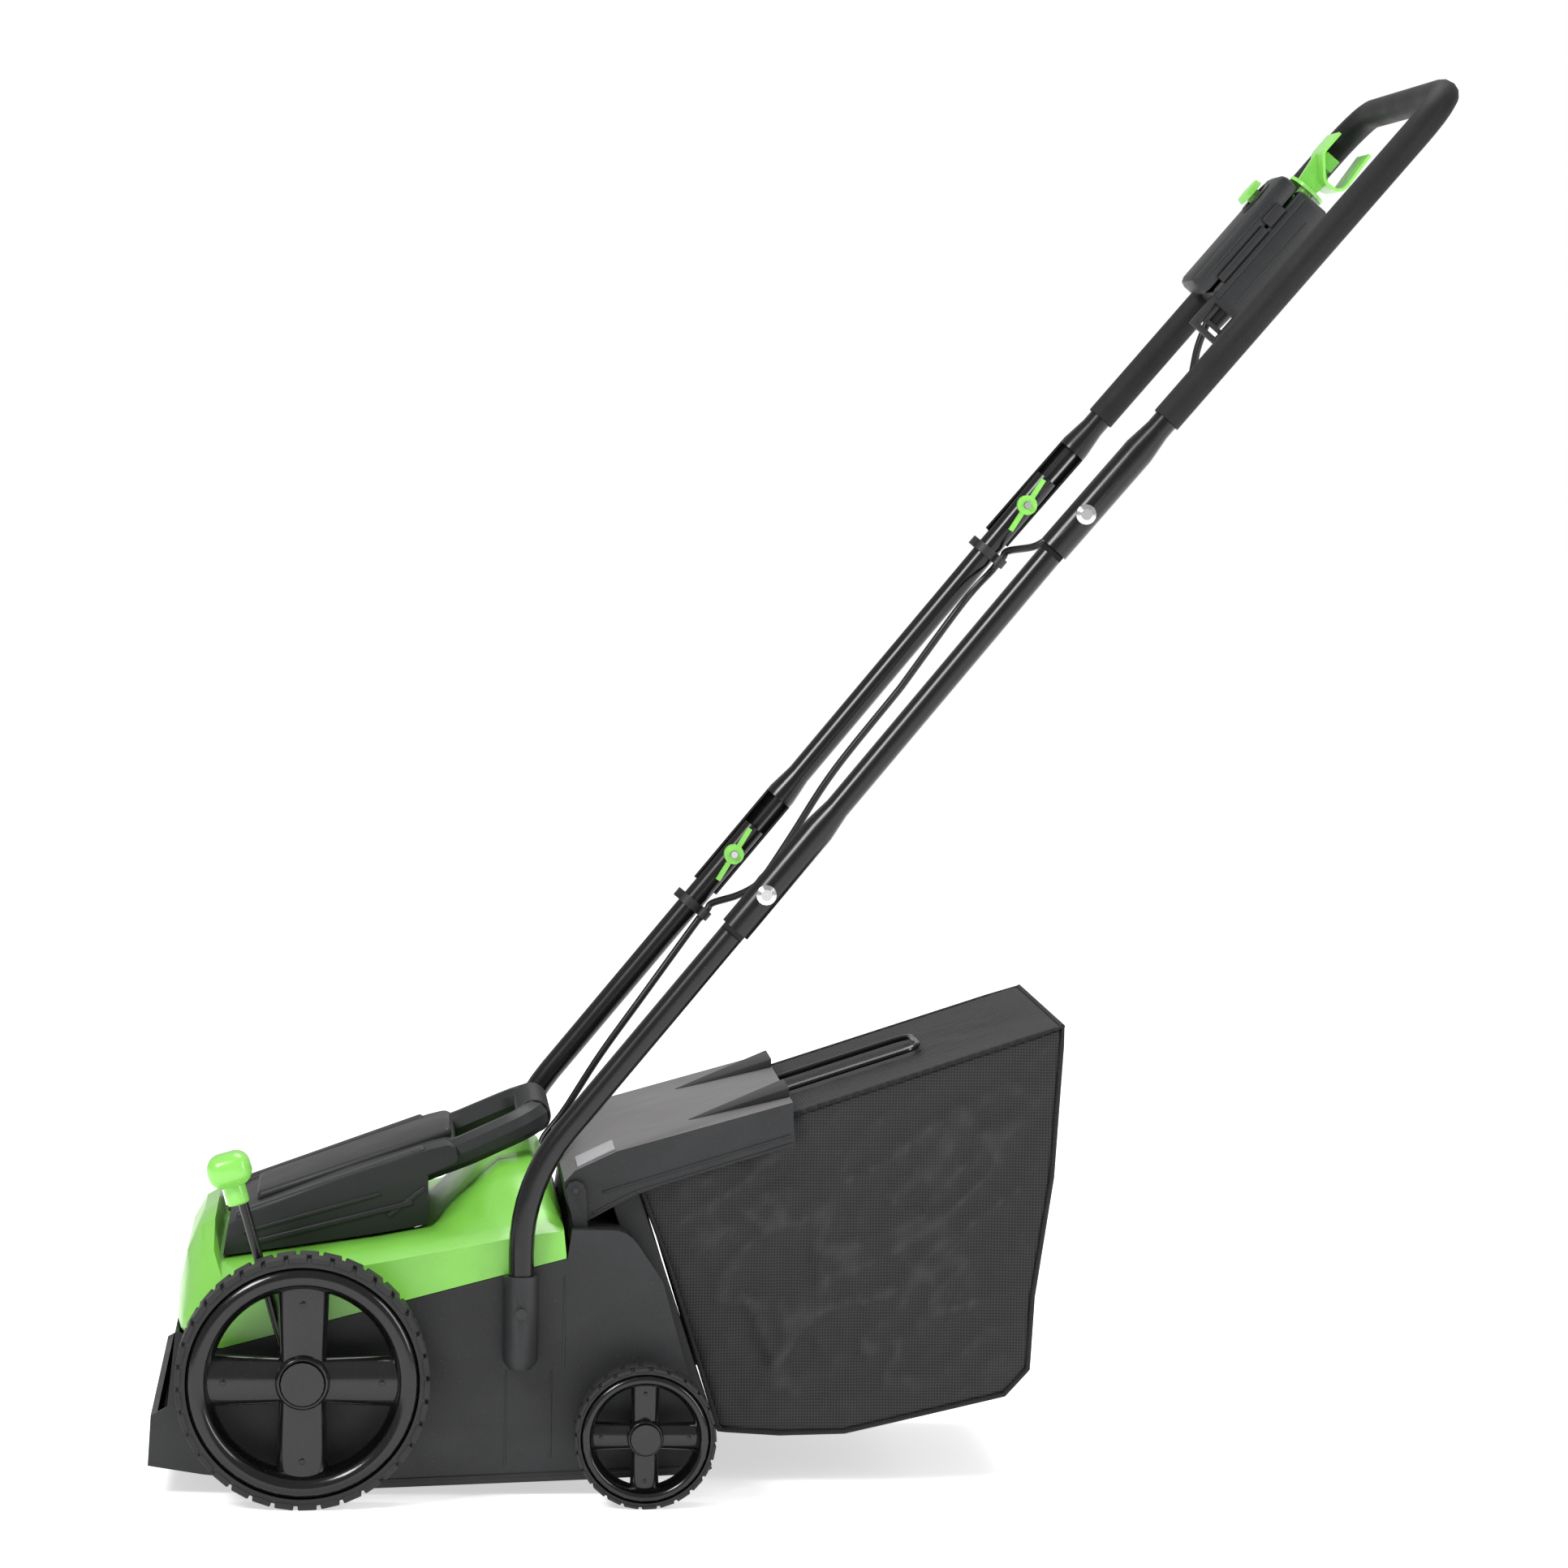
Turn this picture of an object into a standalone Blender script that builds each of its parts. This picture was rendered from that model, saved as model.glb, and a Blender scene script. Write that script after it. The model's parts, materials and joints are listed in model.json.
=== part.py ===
"""Electric lawn dethatcher with a folding handle, a depth lever and a fabric collection bag.

Metres, +Z up. The machine is pushed towards -X, the operator stands at +X, and +Y is the
side that carries the motor lead and the switch box. All pieces are first laid out from the
ground point below the front axle, then the whole machine is moved so that the origin lies
on the ground in the middle of its box.
"""

import math

import bmesh
import bpy
from mathutils import Matrix, Vector

# Clearances
GAP = 0.0003            # between pieces that touch or seat
RUN = 0.0003            # radial, between a shaft and its bore
SWING = 0.0015          # beside a piece that turns past another

# Deck
DECK_HALF = 0.187       # centre to the outer face of a side panel
WALL = 0.003
COVER_WALL = 0.0025
PARTING_FRONT = (-0.068, 0.1165)    # lowest point of the joint line between deck and cover
PARTING_REAR = (0.208, 0.190)
NOSE_TOP = (-0.101, 0.132)
BELT_WALL = (0.146, 0.156)          # wall between the reel tunnel and the belt, in Y

# Wheels
FRONT_RADIUS = 0.100
FRONT_WIDTH = 0.042
REAR_RADIUS = 0.056
REAR_WIDTH = 0.038
WHEELBASE = 0.269
WHEEL_SPACE = 0.021     # deck panel to wheel
FRONT_STUB = 0.006      # radius of the front axle's ends
REAR_AXLE = 0.005
CRANK_ROD = 0.005
CRANK = (-0.012, 0.007)             # crank pivot from the front axle
LEVER_TOP = (-0.050, 0.241)
LEVER_ROD = 0.004

# Reel and drive
REEL = (0.135, 0.066)
BLADE_TIP = 0.056
TUNNEL = 0.063
REEL_SHAFT = 0.006
BLADES = 14
MOTOR = (0.015, 0.165)
MOTOR_RADIUS = 0.038
MOTOR_SPAN = (-0.090, 0.060)
MOTOR_WALL = 0.004
MOTOR_SHAFT = 0.004
BEARING = 0.013
REEL_PULLEY = 0.034
MOTOR_PULLEY = 0.011
BELT = 0.003
BELT_SPAN = (0.163, 0.175)

# Handle
TUBE = 0.010
TUBE_WALL = 0.0012
TUBE_X = 0.171
SOCKET = 0.014
SOCKET_Z = (0.104, 0.1785)
SCREW_Z = 0.150
LOWER_BOLT = (0.360, 0.483)
MIDDLE_LENGTH = 0.391
UPPER_LENGTH = 0.443
LOWER_ANGLE = math.radians(50.7)
UPPER_ANGLE = math.radians(49.6)
LOWER_BEND = 0.150
UPPER_BEND = 0.045
CUP = 0.0126            # outer radius of the cupped tube end
CUP_WALL = 0.0018
CUP_BELOW = 0.037       # cup end from the bolt
CUP_ABOVE = 0.066       # end of the cup's hollow from the bolt
TONGUE_BELOW = 0.042    # half-round tube end inside the cup
TONGUE_ABOVE = 0.029
BOLT = 0.003
BOLT_HEAD = 0.008
FOAM = 0.012
FOAM_START = 0.0985

# Switch box, measured along the upper handle from its bolt
BOX_START = 0.229
BOX_END = 0.350
BOX_DEPTH = (-0.026, 0.028)
BOX_WIDTH = 0.066
BOX_WALL = 0.0025
BUTTON_AT = 0.323
BUTTON_RADIUS = 0.0125
BAR = 0.006             # radius of the pull bar's plunger
BAR_INSIDE = 0.020

# Flap and bag
FLAP_HALF = 0.165
FLAP_WALL = 0.0025
FLAP_PIN = (0.2145, 0.242)
PIN = 0.0025
BAG_HALF = 0.155
BAG_WALL = 0.003
WIRE = 0.0025
LEAD = 0.0032

HANDLE_HALF = DECK_HALF + TUBE + SWING
FRONT_INNER = DECK_HALF + WHEEL_SPACE
CRANK_PIVOT = (CRANK[0], FRONT_RADIUS + CRANK[1])
REAR_CENTRE = (WHEELBASE, REAR_RADIUS)
UPPER_BOLT = (
    LOWER_BOLT[0] + MIDDLE_LENGTH * math.cos(LOWER_ANGLE),
    LOWER_BOLT[1] + MIDDLE_LENGTH * math.sin(LOWER_ANGLE),
)
SIDES = {"left": 1, "right": -1}    # left and right as the operator sees them


# Scene and materials

def clear_scene():
    for obj in list(bpy.data.objects):
        bpy.data.objects.remove(obj)


def new_collection(name):
    made = bpy.data.collections.new(name)
    bpy.context.scene.collection.children.link(made)
    return made


def new_material(name, colour, roughness, metallic=0.0):
    made = bpy.data.materials.new(name)
    made.use_nodes = True
    shader = made.node_tree.nodes["Principled BSDF"]
    shader.inputs["Base Color"].default_value = (*colour, 1.0)
    shader.inputs["Roughness"].default_value = roughness
    shader.inputs["Metallic"].default_value = metallic
    return made


def make_materials():
    return {
        "shell": new_material("green_shell", (0.16, 0.62, 0.06), 0.35),
        "black": new_material("black_plastic", (0.035, 0.035, 0.037), 0.5),
        "gloss": new_material("gloss_black_plastic", (0.012, 0.012, 0.012), 0.2),
        "rubber": new_material("tread_rubber", (0.03, 0.03, 0.03), 0.7),
        "tube": new_material("painted_tube", (0.01, 0.01, 0.01), 0.25, 0.3),
        "foam": new_material("foam_grip", (0.03, 0.03, 0.03), 0.8),
        "steel": new_material("plated_steel", (0.75, 0.75, 0.77), 0.25, 1.0),
        "blade": new_material("blade_steel", (0.35, 0.35, 0.36), 0.4, 1.0),
        "fabric": new_material("bag_fabric", (0.02, 0.02, 0.025), 0.85),
        "cable": new_material("cable_sheath", (0.015, 0.015, 0.015), 0.45),
    }


# Shape tools

def mesh_object(name, bm, at=None):
    """An object in the parts collection from a bmesh, moved by the matrix `at`."""
    mesh = bpy.data.meshes.new(name)
    bm.to_mesh(mesh)
    bm.free()
    if at is not None:
        mesh.transform(at)
    made = bpy.data.objects.new(name, mesh)
    parts.objects.link(made)
    return made


def cylinder(name, start, end, radius, end_radius=None, sides=16, twist=0.0):
    start, end = Vector(start), Vector(end)
    bm = bmesh.new()
    bmesh.ops.create_cone(
        bm, cap_ends=True, segments=sides, depth=(end - start).length,
        radius1=radius, radius2=radius if end_radius is None else end_radius,
    )
    turn = (end - start).to_track_quat("Z", "Y").to_matrix().to_4x4()
    turn = turn @ Matrix.Rotation(math.radians(twist), 4, "Z")
    return mesh_object(name, bm, Matrix.Translation((start + end) / 2) @ turn)


def across(name, centre, y_low, y_high, radius, end_radius=None, sides=16, twist=0.0):
    """A cylinder along Y at (x, z)."""
    x, z = centre
    return cylinder(name, (x, y_low, z), (x, y_high, z), radius, end_radius, sides, twist)


def block(name, low, high, at=None):
    low, high = Vector(low), Vector(high)
    bm = bmesh.new()
    bmesh.ops.create_cube(bm, size=1.0)
    bmesh.ops.scale(bm, vec=high - low, verts=bm.verts)
    bmesh.ops.translate(bm, vec=(low + high) / 2, verts=bm.verts)
    return mesh_object(name, bm, at)


def rounded(corners, steps=4):
    """A path through corners of (x, z) or (x, z, radius): a radius turns its corner into an arc."""
    points = []
    count = len(corners)
    for i, corner in enumerate(corners):
        here = Vector(corner[:2])
        if len(corner) == 2:
            points.append(here)
            continue
        before = (Vector(corners[i - 1][:2]) - here).normalized()
        after = (Vector(corners[(i + 1) % count][:2]) - here).normalized()
        half = before.angle(after) / 2
        reach = corner[2] / math.tan(half)
        centre = here + (before + after).normalized() * corner[2] / math.sin(half)
        first = here + before * reach - centre
        last = here + after * reach - centre
        sweep = first.angle_signed(last)
        for k in range(steps + 1):
            turn = Matrix.Rotation(-sweep * k / steps, 2)
            points.append(centre + turn @ first)
    return points


def curve_to_mesh(curve):
    """Turns a curve object into a mesh object with welded caps, and removes the curve."""
    graph = bpy.context.evaluated_depsgraph_get()
    mesh = bpy.data.meshes.new_from_object(curve.evaluated_get(graph))
    bm = bmesh.new()
    bm.from_mesh(mesh)
    bmesh.ops.remove_doubles(bm, verts=bm.verts, dist=1e-6)
    bmesh.ops.recalc_face_normals(bm, faces=bm.faces)
    bm.to_mesh(mesh)
    bm.free()
    made = bpy.data.objects.new(curve.name.removesuffix("_line"), mesh)
    parts.objects.link(made)
    made.matrix_world = curve.matrix_world.copy()
    bpy.data.objects.remove(curve)
    return made


def new_curve(name, points, dimensions, cyclic=False, scales=()):
    data = bpy.data.curves.new(name + "_line", "CURVE")
    data.dimensions = dimensions
    spline = data.splines.new("POLY")
    spline.points.add(len(points) - 1)
    for target, point in zip(spline.points, points):
        target.co = (*point, *([0.0] * (3 - len(point))), 1.0)
    for target, scale in zip(spline.points, scales):
        target.radius = scale
    spline.use_cyclic_u = cyclic
    made = bpy.data.objects.new(name + "_line", data)
    parts.objects.link(made)
    return made


def outline(name, corners, y_low, y_high, steps=4, at=None):
    """A flat outline of (x, z) corners, thick from y_low to y_high."""
    curve = new_curve(name, rounded(corners, steps), "2D", cyclic=True)
    curve.data.fill_mode = "BOTH"
    curve.data.extrude = (y_high - y_low) / 2
    bpy.context.view_layer.update()
    made = curve_to_mesh(curve)
    upright = Matrix.Translation((0, (y_low + y_high) / 2, 0)) @ Matrix.Rotation(math.pi / 2, 4, "X")
    made.data.transform(upright if at is None else at @ upright)
    return made


def tube(name, points, radius, resolution=4, cyclic=False, scales=()):
    """A round bar along a path; `scales` widens it at its first points."""
    curve = new_curve(name, points, "3D", cyclic, scales)
    curve.data.bevel_depth = radius
    curve.data.bevel_resolution = resolution
    curve.data.use_fill_caps = True
    bpy.context.view_layer.update()
    return curve_to_mesh(curve)


def bent(corners, steps=5):
    """A 3D path: a corner of (x, y, z, radius) becomes an arc of that radius."""
    points = []
    for i, corner in enumerate(corners):
        here = Vector(corner[:3])
        if len(corner) == 3:
            points.append(here)
            continue
        before = (Vector(corners[i - 1][:3]) - here).normalized()
        after = (Vector(corners[(i + 1) % len(corners)][:3]) - here).normalized()
        half = before.angle(after) / 2
        centre = here + (before + after).normalized() * corner[3] / math.sin(half)
        first = here + before * corner[3] / math.tan(half) - centre
        last = here + after * corner[3] / math.tan(half) - centre
        turn = first.cross(last).normalized()
        for k in range(steps + 1):
            swung = Matrix.Rotation(first.angle(last) * k / steps, 3, turn) @ first
            points.append(centre + swung)
    return points


def smooth_route(points, steps):
    """A Catmull-Rom curve through the points."""
    points = [Vector(p) for p in points]
    padded = [2 * points[0] - points[1], *points, 2 * points[-1] - points[-2]]
    route = []
    for a, b, c, d in zip(padded, padded[1:], padded[2:], padded[3:]):
        for k in range(steps):
            t = k / steps
            route.append(0.5 * (
                2 * b + (c - a) * t
                + (2 * a - 5 * b + 4 * c - d) * t ** 2
                + (3 * b - a - 3 * c + d) * t ** 3
            ))
    route.append(points[-1])
    return route


def combine(obj, other, operation):
    """Adds a Boolean with `other`, which becomes a hidden helper."""
    modifier = obj.modifiers.new(operation.lower(), "BOOLEAN")
    modifier.operation = operation
    modifier.object = other
    parts.objects.unlink(other)
    cutters.objects.link(other)
    other.hide_render = True
    other.display_type = "WIRE"
    other.name = f"{obj.name}_{operation.lower()}_{len(obj.modifiers)}"
    other.parent = bodies["deck"]
    return obj


def cut(obj, *others):
    for other in others:
        combine(obj, other, "DIFFERENCE")
    return obj


def join(obj, *others):
    for other in others:
        combine(obj, other, "UNION")
    return obj


def bevel(obj, width, segments=1):
    modifier = obj.modifiers.new("rounding", "BEVEL")
    modifier.width = width
    modifier.segments = segments
    modifier.limit_method = "ANGLE"
    return obj


def turned(name, profile, steps, at):
    """A ring or disc: a closed profile of (radius, height) turned about Z, then placed."""
    bm = bmesh.new()
    corners = [bm.verts.new((radius, 0, height)) for radius, height in profile]
    edges = [bm.edges.new(pair) for pair in zip(corners, corners[1:] + corners[:1])]
    bmesh.ops.spin(
        bm, geom=corners + edges, cent=(0, 0, 0), axis=(0, 0, 1),
        angle=2 * math.pi, steps=steps, use_merge=True,
    )
    bmesh.ops.remove_doubles(bm, verts=bm.verts, dist=1e-6)
    bmesh.ops.recalc_face_normals(bm, faces=bm.faces)
    return mesh_object(name, bm, at)


def finish(obj, material, body, smooth=35):
    """Gives a piece its material and its parent, the empty on its body's joint axis."""
    obj.data.materials.clear()
    obj.data.materials.append(materials[material])
    obj.parent = bodies[body]
    obj.matrix_parent_inverse = bodies[body].matrix_world.inverted()
    for polygon in obj.data.polygons:
        polygon.use_smooth = True
    obj.data.set_sharp_from_angle(angle=math.radians(smooth))
    return obj


def make_body(name, location, parent=None):
    made = bpy.data.objects.new("body_" + name, None)
    parts.objects.link(made)
    made.location = location
    bodies[name] = made
    bpy.context.view_layer.update()
    if parent is not None:
        made.parent = bodies[parent]
        made.matrix_parent_inverse = bodies[parent].matrix_world.inverted()
        bpy.context.view_layer.update()
    return made


def wheel_place(x, z, y, side):
    """Stands a part turned about Z upright, its outer face towards the given side."""
    return Matrix.Translation((x, y, z)) @ Matrix.Rotation(-side * math.pi / 2, 4, "X")


def arc(centre, radius, start, end, steps):
    """Points on an arc, in degrees."""
    turns = [math.radians(start + (end - start) * k / steps) for k in range(steps + 1)]
    return [(centre[0] + radius * math.cos(t), centre[1] + radius * math.sin(t)) for t in turns]


def parting(x):
    """Height of the joint line between the deck and the cover."""
    low, high = (NOSE_TOP, PARTING_FRONT) if x < PARTING_FRONT[0] else (PARTING_FRONT, PARTING_REAR)
    return low[1] + (x - low[0]) / (high[0] - low[0]) * (high[1] - low[1])


# Deck

def deck_outline():
    return [
        (-0.122, 0.024), (-0.120, 0.064), (-0.107, 0.071), NOSE_TOP, PARTING_FRONT, PARTING_REAR,
        (0.2115, 0.213), (0.256, 0.213, 0.025), (0.284, 0.172, 0.025), (0.306, 0.094),
        (0.325, 0.022), (0.318, 0.018), (0.223, 0.013), (0.056, 0.006), (0.040, 0.006), (-0.078, 0.017),
    ]


def tunnel_and_chute():
    """The reel's tunnel, open below, and the chute that leads from it to the bag."""
    low, high = -0.010, 0.2085
    return [
        (REEL[0] - TUNNEL, low), *arc(REEL, TUNNEL, 180, 75, 6), (0.192, 0.184), (0.216, high),
        (0.340, high), (0.340, 0.100), (0.300, 0.097), (0.222, 0.062), (0.204, 0.045), (0.201, low),
    ]


def motor_space():
    """The tub in front of and above the tunnel, open at the top."""
    top = 0.300
    return [
        (-0.098, top), (-0.098, 0.131), (-0.104, 0.074), (-0.116, 0.066), (-0.118, 0.029),
        (-0.078, 0.0215), (0.040, 0.0105), (REEL[0] - TUNNEL - WALL, 0.0105),
        *arc(REEL, TUNNEL + WALL, 180, 76, 6), (0.188, 0.186), (0.205, 0.207), (0.205, top),
    ]


def make_deck():
    inside = DECK_HALF - WALL
    x, z = REEL
    deck = outline("deck_housing", deck_outline(), -DECK_HALF, DECK_HALF)
    cut(deck, outline("tunnel", tunnel_and_chute(), -inside, BELT_WALL[0]))
    mouth = [(0.226, 0.067), (0.226, 0.200), (0.245, 0.2078), (0.340, 0.2078), (0.340, 0.102), (0.300, 0.098)]
    cut(deck, outline("mouth", mouth, BELT_WALL[0] - 0.010, inside - 0.0004))
    cut(deck, outline("tub", motor_space(), -inside, inside))
    drive = [(x - 0.080, 0.300), (x - 0.080, z), (x - 0.030, 0.022), (x + 0.030, 0.022),
             (x + 0.048, z - 0.020), (x + 0.048, z + 0.060), (x, 0.300)]
    cut(deck, outline("belt_room", drive, BELT_WALL[1], inside - 0.0008))
    under = [(0.208, -0.010), (0.211, 0.043), (0.226, 0.0585), (0.302, 0.0925), (0.330, 0.0925), (0.330, -0.010)]
    cut(deck, outline("axle_room", under, -inside, inside))
    for side in SIDES.values():
        add_socket(deck, side)
    ear = arc(FLAP_PIN, 0.008, 180, 0, 4) + [(FLAP_PIN[0] + 0.010, 0.210), (FLAP_PIN[0] - 0.0005, 0.210)]
    for side in SIDES.values():
        ends = sorted((side * (FLAP_HALF + GAP), side * (FLAP_HALF + 0.006)))
        join(deck, outline("ear", ear, *ends))
    join(deck, across("boss", REEL, -inside - 0.001, -inside + 0.012, BEARING + 0.005, sides=20))
    cut(deck, across("seat", REEL, -inside + 0.0005, -inside + 0.020, BEARING + GAP, sides=20))
    cut(deck, across("far_seat", REEL, BELT_WALL[0] - 0.005, BELT_WALL[1] + 0.005, BEARING + GAP, sides=20))
    join(deck, motor_cradle())
    beyond = DECK_HALF + 0.010
    cut(deck, across("crank_hole", CRANK_PIVOT, -beyond, beyond, CRANK_ROD + RUN, sides=12))
    cut(deck, across("axle_hole", REAR_CENTRE, -beyond, beyond, REAR_AXLE + GAP, sides=12))
    beyond = FLAP_HALF + 0.010
    cut(deck, across("pin_hole", FLAP_PIN, -beyond, beyond, PIN + GAP, sides=8))
    finish(deck, "black", "deck")


def add_socket(deck, side):
    """The sleeve on a side panel that holds a lower tube."""
    y = side * HANDLE_HALF
    low, high = SOCKET_Z
    heights = (low, low + 0.007, high)
    join(deck, tube("socket", [(TUBE_X, y, z) for z in heights], SOCKET, scales=(0.64, 1.0, 1.0)))
    cut(deck, cylinder("bore", (TUBE_X, y, low + 0.010), (TUBE_X, y, 0.250), TUBE + GAP, sides=16))
    outer = side * (HANDLE_HALF + 0.030)
    cut(deck, across("screw_hole", (TUBE_X, SCREW_Z), *sorted((side * 0.1, outer)), 0.0027, sides=8))


def motor_cradle():
    """Saddle moulded on the tub's floor, under the motor."""
    x, z = MOTOR
    seat = arc(MOTOR, MOTOR_RADIUS + 0.0009, 215, 325, 6)
    legs = [(x + 0.036, z - 0.030), (x + 0.036, 0.010), (x - 0.036, 0.0135), (x - 0.036, z - 0.030)]
    return outline("cradle", seat + legs, MOTOR_SPAN[0] + 0.050, MOTOR_SPAN[1] - 0.050)


# Covers

def cover_rails():
    """Side views of the green cover, from its middle out to its skirt, as (half width, [(x, z)])."""
    skirt = [-0.093, -0.092, -0.086, -0.078, -0.071, -0.065, 0.060, 0.102, 0.128, 0.152, 0.178, 0.190, 0.203, 0.207]
    top = [
        (-0.102, 0.1335), (-0.101, 0.152), (-0.095, 0.182), (-0.084, 0.201), (-0.073, 0.207),
        (-0.069, 0.1775), (0.060, 0.1965), (0.102, 0.2045), (0.128, 0.231), (0.155, 0.254),
        (0.180, 0.2575), (0.191, 0.251), (0.2055, 0.214), (0.207, 0.1935),
    ]
    return [
        (0.0, top),
        (0.090, top),
        (0.125, [
            (-0.101, 0.133), (-0.099, 0.148), (-0.092, 0.170), (-0.082, 0.184), (-0.073, 0.186),
            (-0.067, 0.1765), (0.060, 0.1955), (0.102, 0.2035), (0.128, 0.222), (0.152, 0.243),
            (0.178, 0.247), (0.190, 0.242), (0.205, 0.213), (0.207, 0.1935),
        ]),
        (DECK_HALF - 0.012, [
            (-0.097, 0.1325), (-0.095, 0.143), (-0.088, 0.155), (-0.079, 0.164), (-0.071, 0.169),
            (-0.065, 0.1715), (0.060, 0.1935), (0.102, 0.2015), (0.128, 0.207), (0.152, 0.212),
            (0.178, 0.2165), (0.190, 0.2185), (0.205, 0.2135), (0.207, 0.1935),
        ]),
        (DECK_HALF, [
            (-0.093, 0.1305), (-0.092, 0.138), (-0.086, 0.148), (-0.078, 0.156), (-0.071, 0.161),
            (-0.065, 0.164), (0.060, 0.1865), (0.102, 0.1945), (0.128, 0.199), (0.152, 0.204),
            (0.178, 0.2085), (0.190, 0.2105), (0.205, 0.212), (0.207, 0.1935),
        ]),
        (DECK_HALF, [(x, parting(min(x, PARTING_REAR[0])) + 2 * GAP) for x in skirt]),
    ]


def make_top_cover():
    """A lofted shell: the half from the middle to the skirt, mirrored, then given its wall."""
    bm = bmesh.new()
    rows = [[bm.verts.new((x, y, z)) for x, z in rail] for y, rail in cover_rails()]
    for near, far in zip(rows, rows[1:]):
        for k in range(len(near) - 1):
            bm.faces.new((near[k], far[k], far[k + 1], near[k + 1]))
    bmesh.ops.remove_doubles(bm, verts=bm.verts, dist=1e-5)
    bmesh.ops.recalc_face_normals(bm, faces=bm.faces)
    bm.normal_update()
    if sum(face.normal.z * face.calc_area() for face in bm.faces) < 0:
        bmesh.ops.reverse_faces(bm, faces=bm.faces)
    cover = mesh_object("top_cover", bm)
    mirror = cover.modifiers.new("both_sides", "MIRROR")
    mirror.use_axis = (False, True, False)
    mirror.merge_threshold = 0.0001
    wall = cover.modifiers.new("wall", "SOLIDIFY")
    wall.thickness = COVER_WALL
    wall.offset = -1.0
    cut(cover, block("motor_opening", (-0.050, -0.098, 0.150), (0.094, 0.098, 0.250)))
    finish(cover, "shell", "deck")


def carry_handle():
    """The U-shaped grip that reaches back from the motor cover."""
    base, rise = (0.060, 0.236), (0.128, 0.262)
    back = (0.184, 0.287)
    half = 0.080
    corners = [
        (base[0], -half, base[1]), (rise[0], -half, rise[1], 0.060), (back[0], -half + 0.006, back[1], 0.026),
        (back[0], half - 0.006, back[1], 0.026), (rise[0], half, rise[1], 0.060), (base[0], half, base[1]),
    ]
    grip = tube("carry_handle", bent(corners, 4), 0.013, 3)
    grip.data.transform(Matrix.Translation((0, 0, 0)))
    return grip


def make_motor_cover():
    half = 0.110
    body = [
        (-0.066, 0.1795), (-0.062, 0.205), (-0.047, 0.214), (0.033, 0.245), (0.100, 0.267),
        (0.120, 0.272, 0.008), (0.122, 0.256, 0.006), (0.098, 0.246), (0.098, 0.2055), (0.060, 0.1985),
    ]
    inner = [
        (-0.0635, 0.150), (-0.0595, 0.2035), (-0.0465, 0.2112), (0.033, 0.242), (0.0955, 0.2625), (0.0955, 0.150),
    ]
    cover = outline("motor_cover", body, -half, half)
    bevel(cover, 0.006, 2)
    join(cover, carry_handle())
    cut(cover, outline("hollow", inner, -half + COVER_WALL, half - COVER_WALL))
    finish(cover, "black", "deck")


# Drive

def make_drive():
    x, z = REEL
    can = bevel(across("motor_can", MOTOR, *MOTOR_SPAN, MOTOR_RADIUS, sides=24), 0.004)
    low, high = MOTOR_SPAN[0] + MOTOR_WALL, MOTOR_SPAN[1] - MOTOR_WALL
    cut(can, across("inside", MOTOR, low, high, MOTOR_RADIUS - MOTOR_WALL, sides=24))
    cut(can, across("shaft_hole", MOTOR, high - 0.001, MOTOR_SPAN[1] + 0.01, MOTOR_SHAFT + 0.002, sides=12))
    finish(can, "steel", "deck")
    width = BELT_SPAN[1] - BELT_SPAN[0]
    shaft = across("motor_shaft", MOTOR, low + 0.010, BELT_SPAN[1] + 0.004, MOTOR_SHAFT, sides=12)
    join(shaft, across("armature", MOTOR, low + 0.020, high - 0.020, MOTOR_RADIUS - MOTOR_WALL - 0.006))
    wheel = across("motor_pulley", MOTOR, BELT_SPAN[0] - 0.001, BELT_SPAN[1] + 0.001, MOTOR_PULLEY, sides=16)
    finish(join(shaft, wheel), "steel", "motor_rotor")
    make_belt()
    pulley = across("reel_pulley", REEL, BELT_SPAN[0] - 0.001, BELT_SPAN[0] + width + 0.001, REEL_PULLEY, sides=32)
    cut(pulley, across("bore", REEL, 0.1, 0.2, REEL_SHAFT + GAP, sides=12))
    finish(pulley, "black", "reel")
    inside = DECK_HALF - WALL
    rod = across("reel_shaft", REEL, -inside + 0.002, BELT_SPAN[1] + 0.004, REEL_SHAFT, sides=12)
    finish(rod, "steel", "reel")
    near = (-inside + 0.0008, -inside + 0.0108)
    far = (BELT_WALL[0] + GAP, BELT_WALL[1] - GAP)
    for name, span in (("reel_bearing_right", near), ("reel_bearing_left", far)):
        race = across(name, REEL, *span, BEARING, sides=20)
        cut(race, across("bore", REEL, -0.2, 0.2, REEL_SHAFT + RUN, sides=12))
        finish(race, "steel", "deck")
    make_blades(near[1] + 0.004, far[0] - 0.004)


def belt_loop(extra):
    """The closed path round both pulleys, outside their rims by `extra`."""
    direction = Vector(REEL) - Vector(MOTOR)
    heading = math.degrees(math.atan2(direction.y, direction.x))
    tilt = math.degrees(math.acos((REEL_PULLEY - MOTOR_PULLEY) / direction.length))
    small = arc(MOTOR, MOTOR_PULLEY + extra, heading + 180 - tilt + 0, heading + 180 + tilt, 8)
    big = arc(REEL, REEL_PULLEY + extra, heading - 180 + tilt, heading + 180 - tilt, 18)
    return [(x, z) for x, z in small] + [(x, z) for x, z in big]


def make_belt():
    belt = outline("drive_belt", belt_loop(GAP + BELT), *BELT_SPAN)
    cut(belt, outline("belt_inside", belt_loop(GAP), 0.1, 0.2))
    finish(belt, "rubber", "deck")


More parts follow.
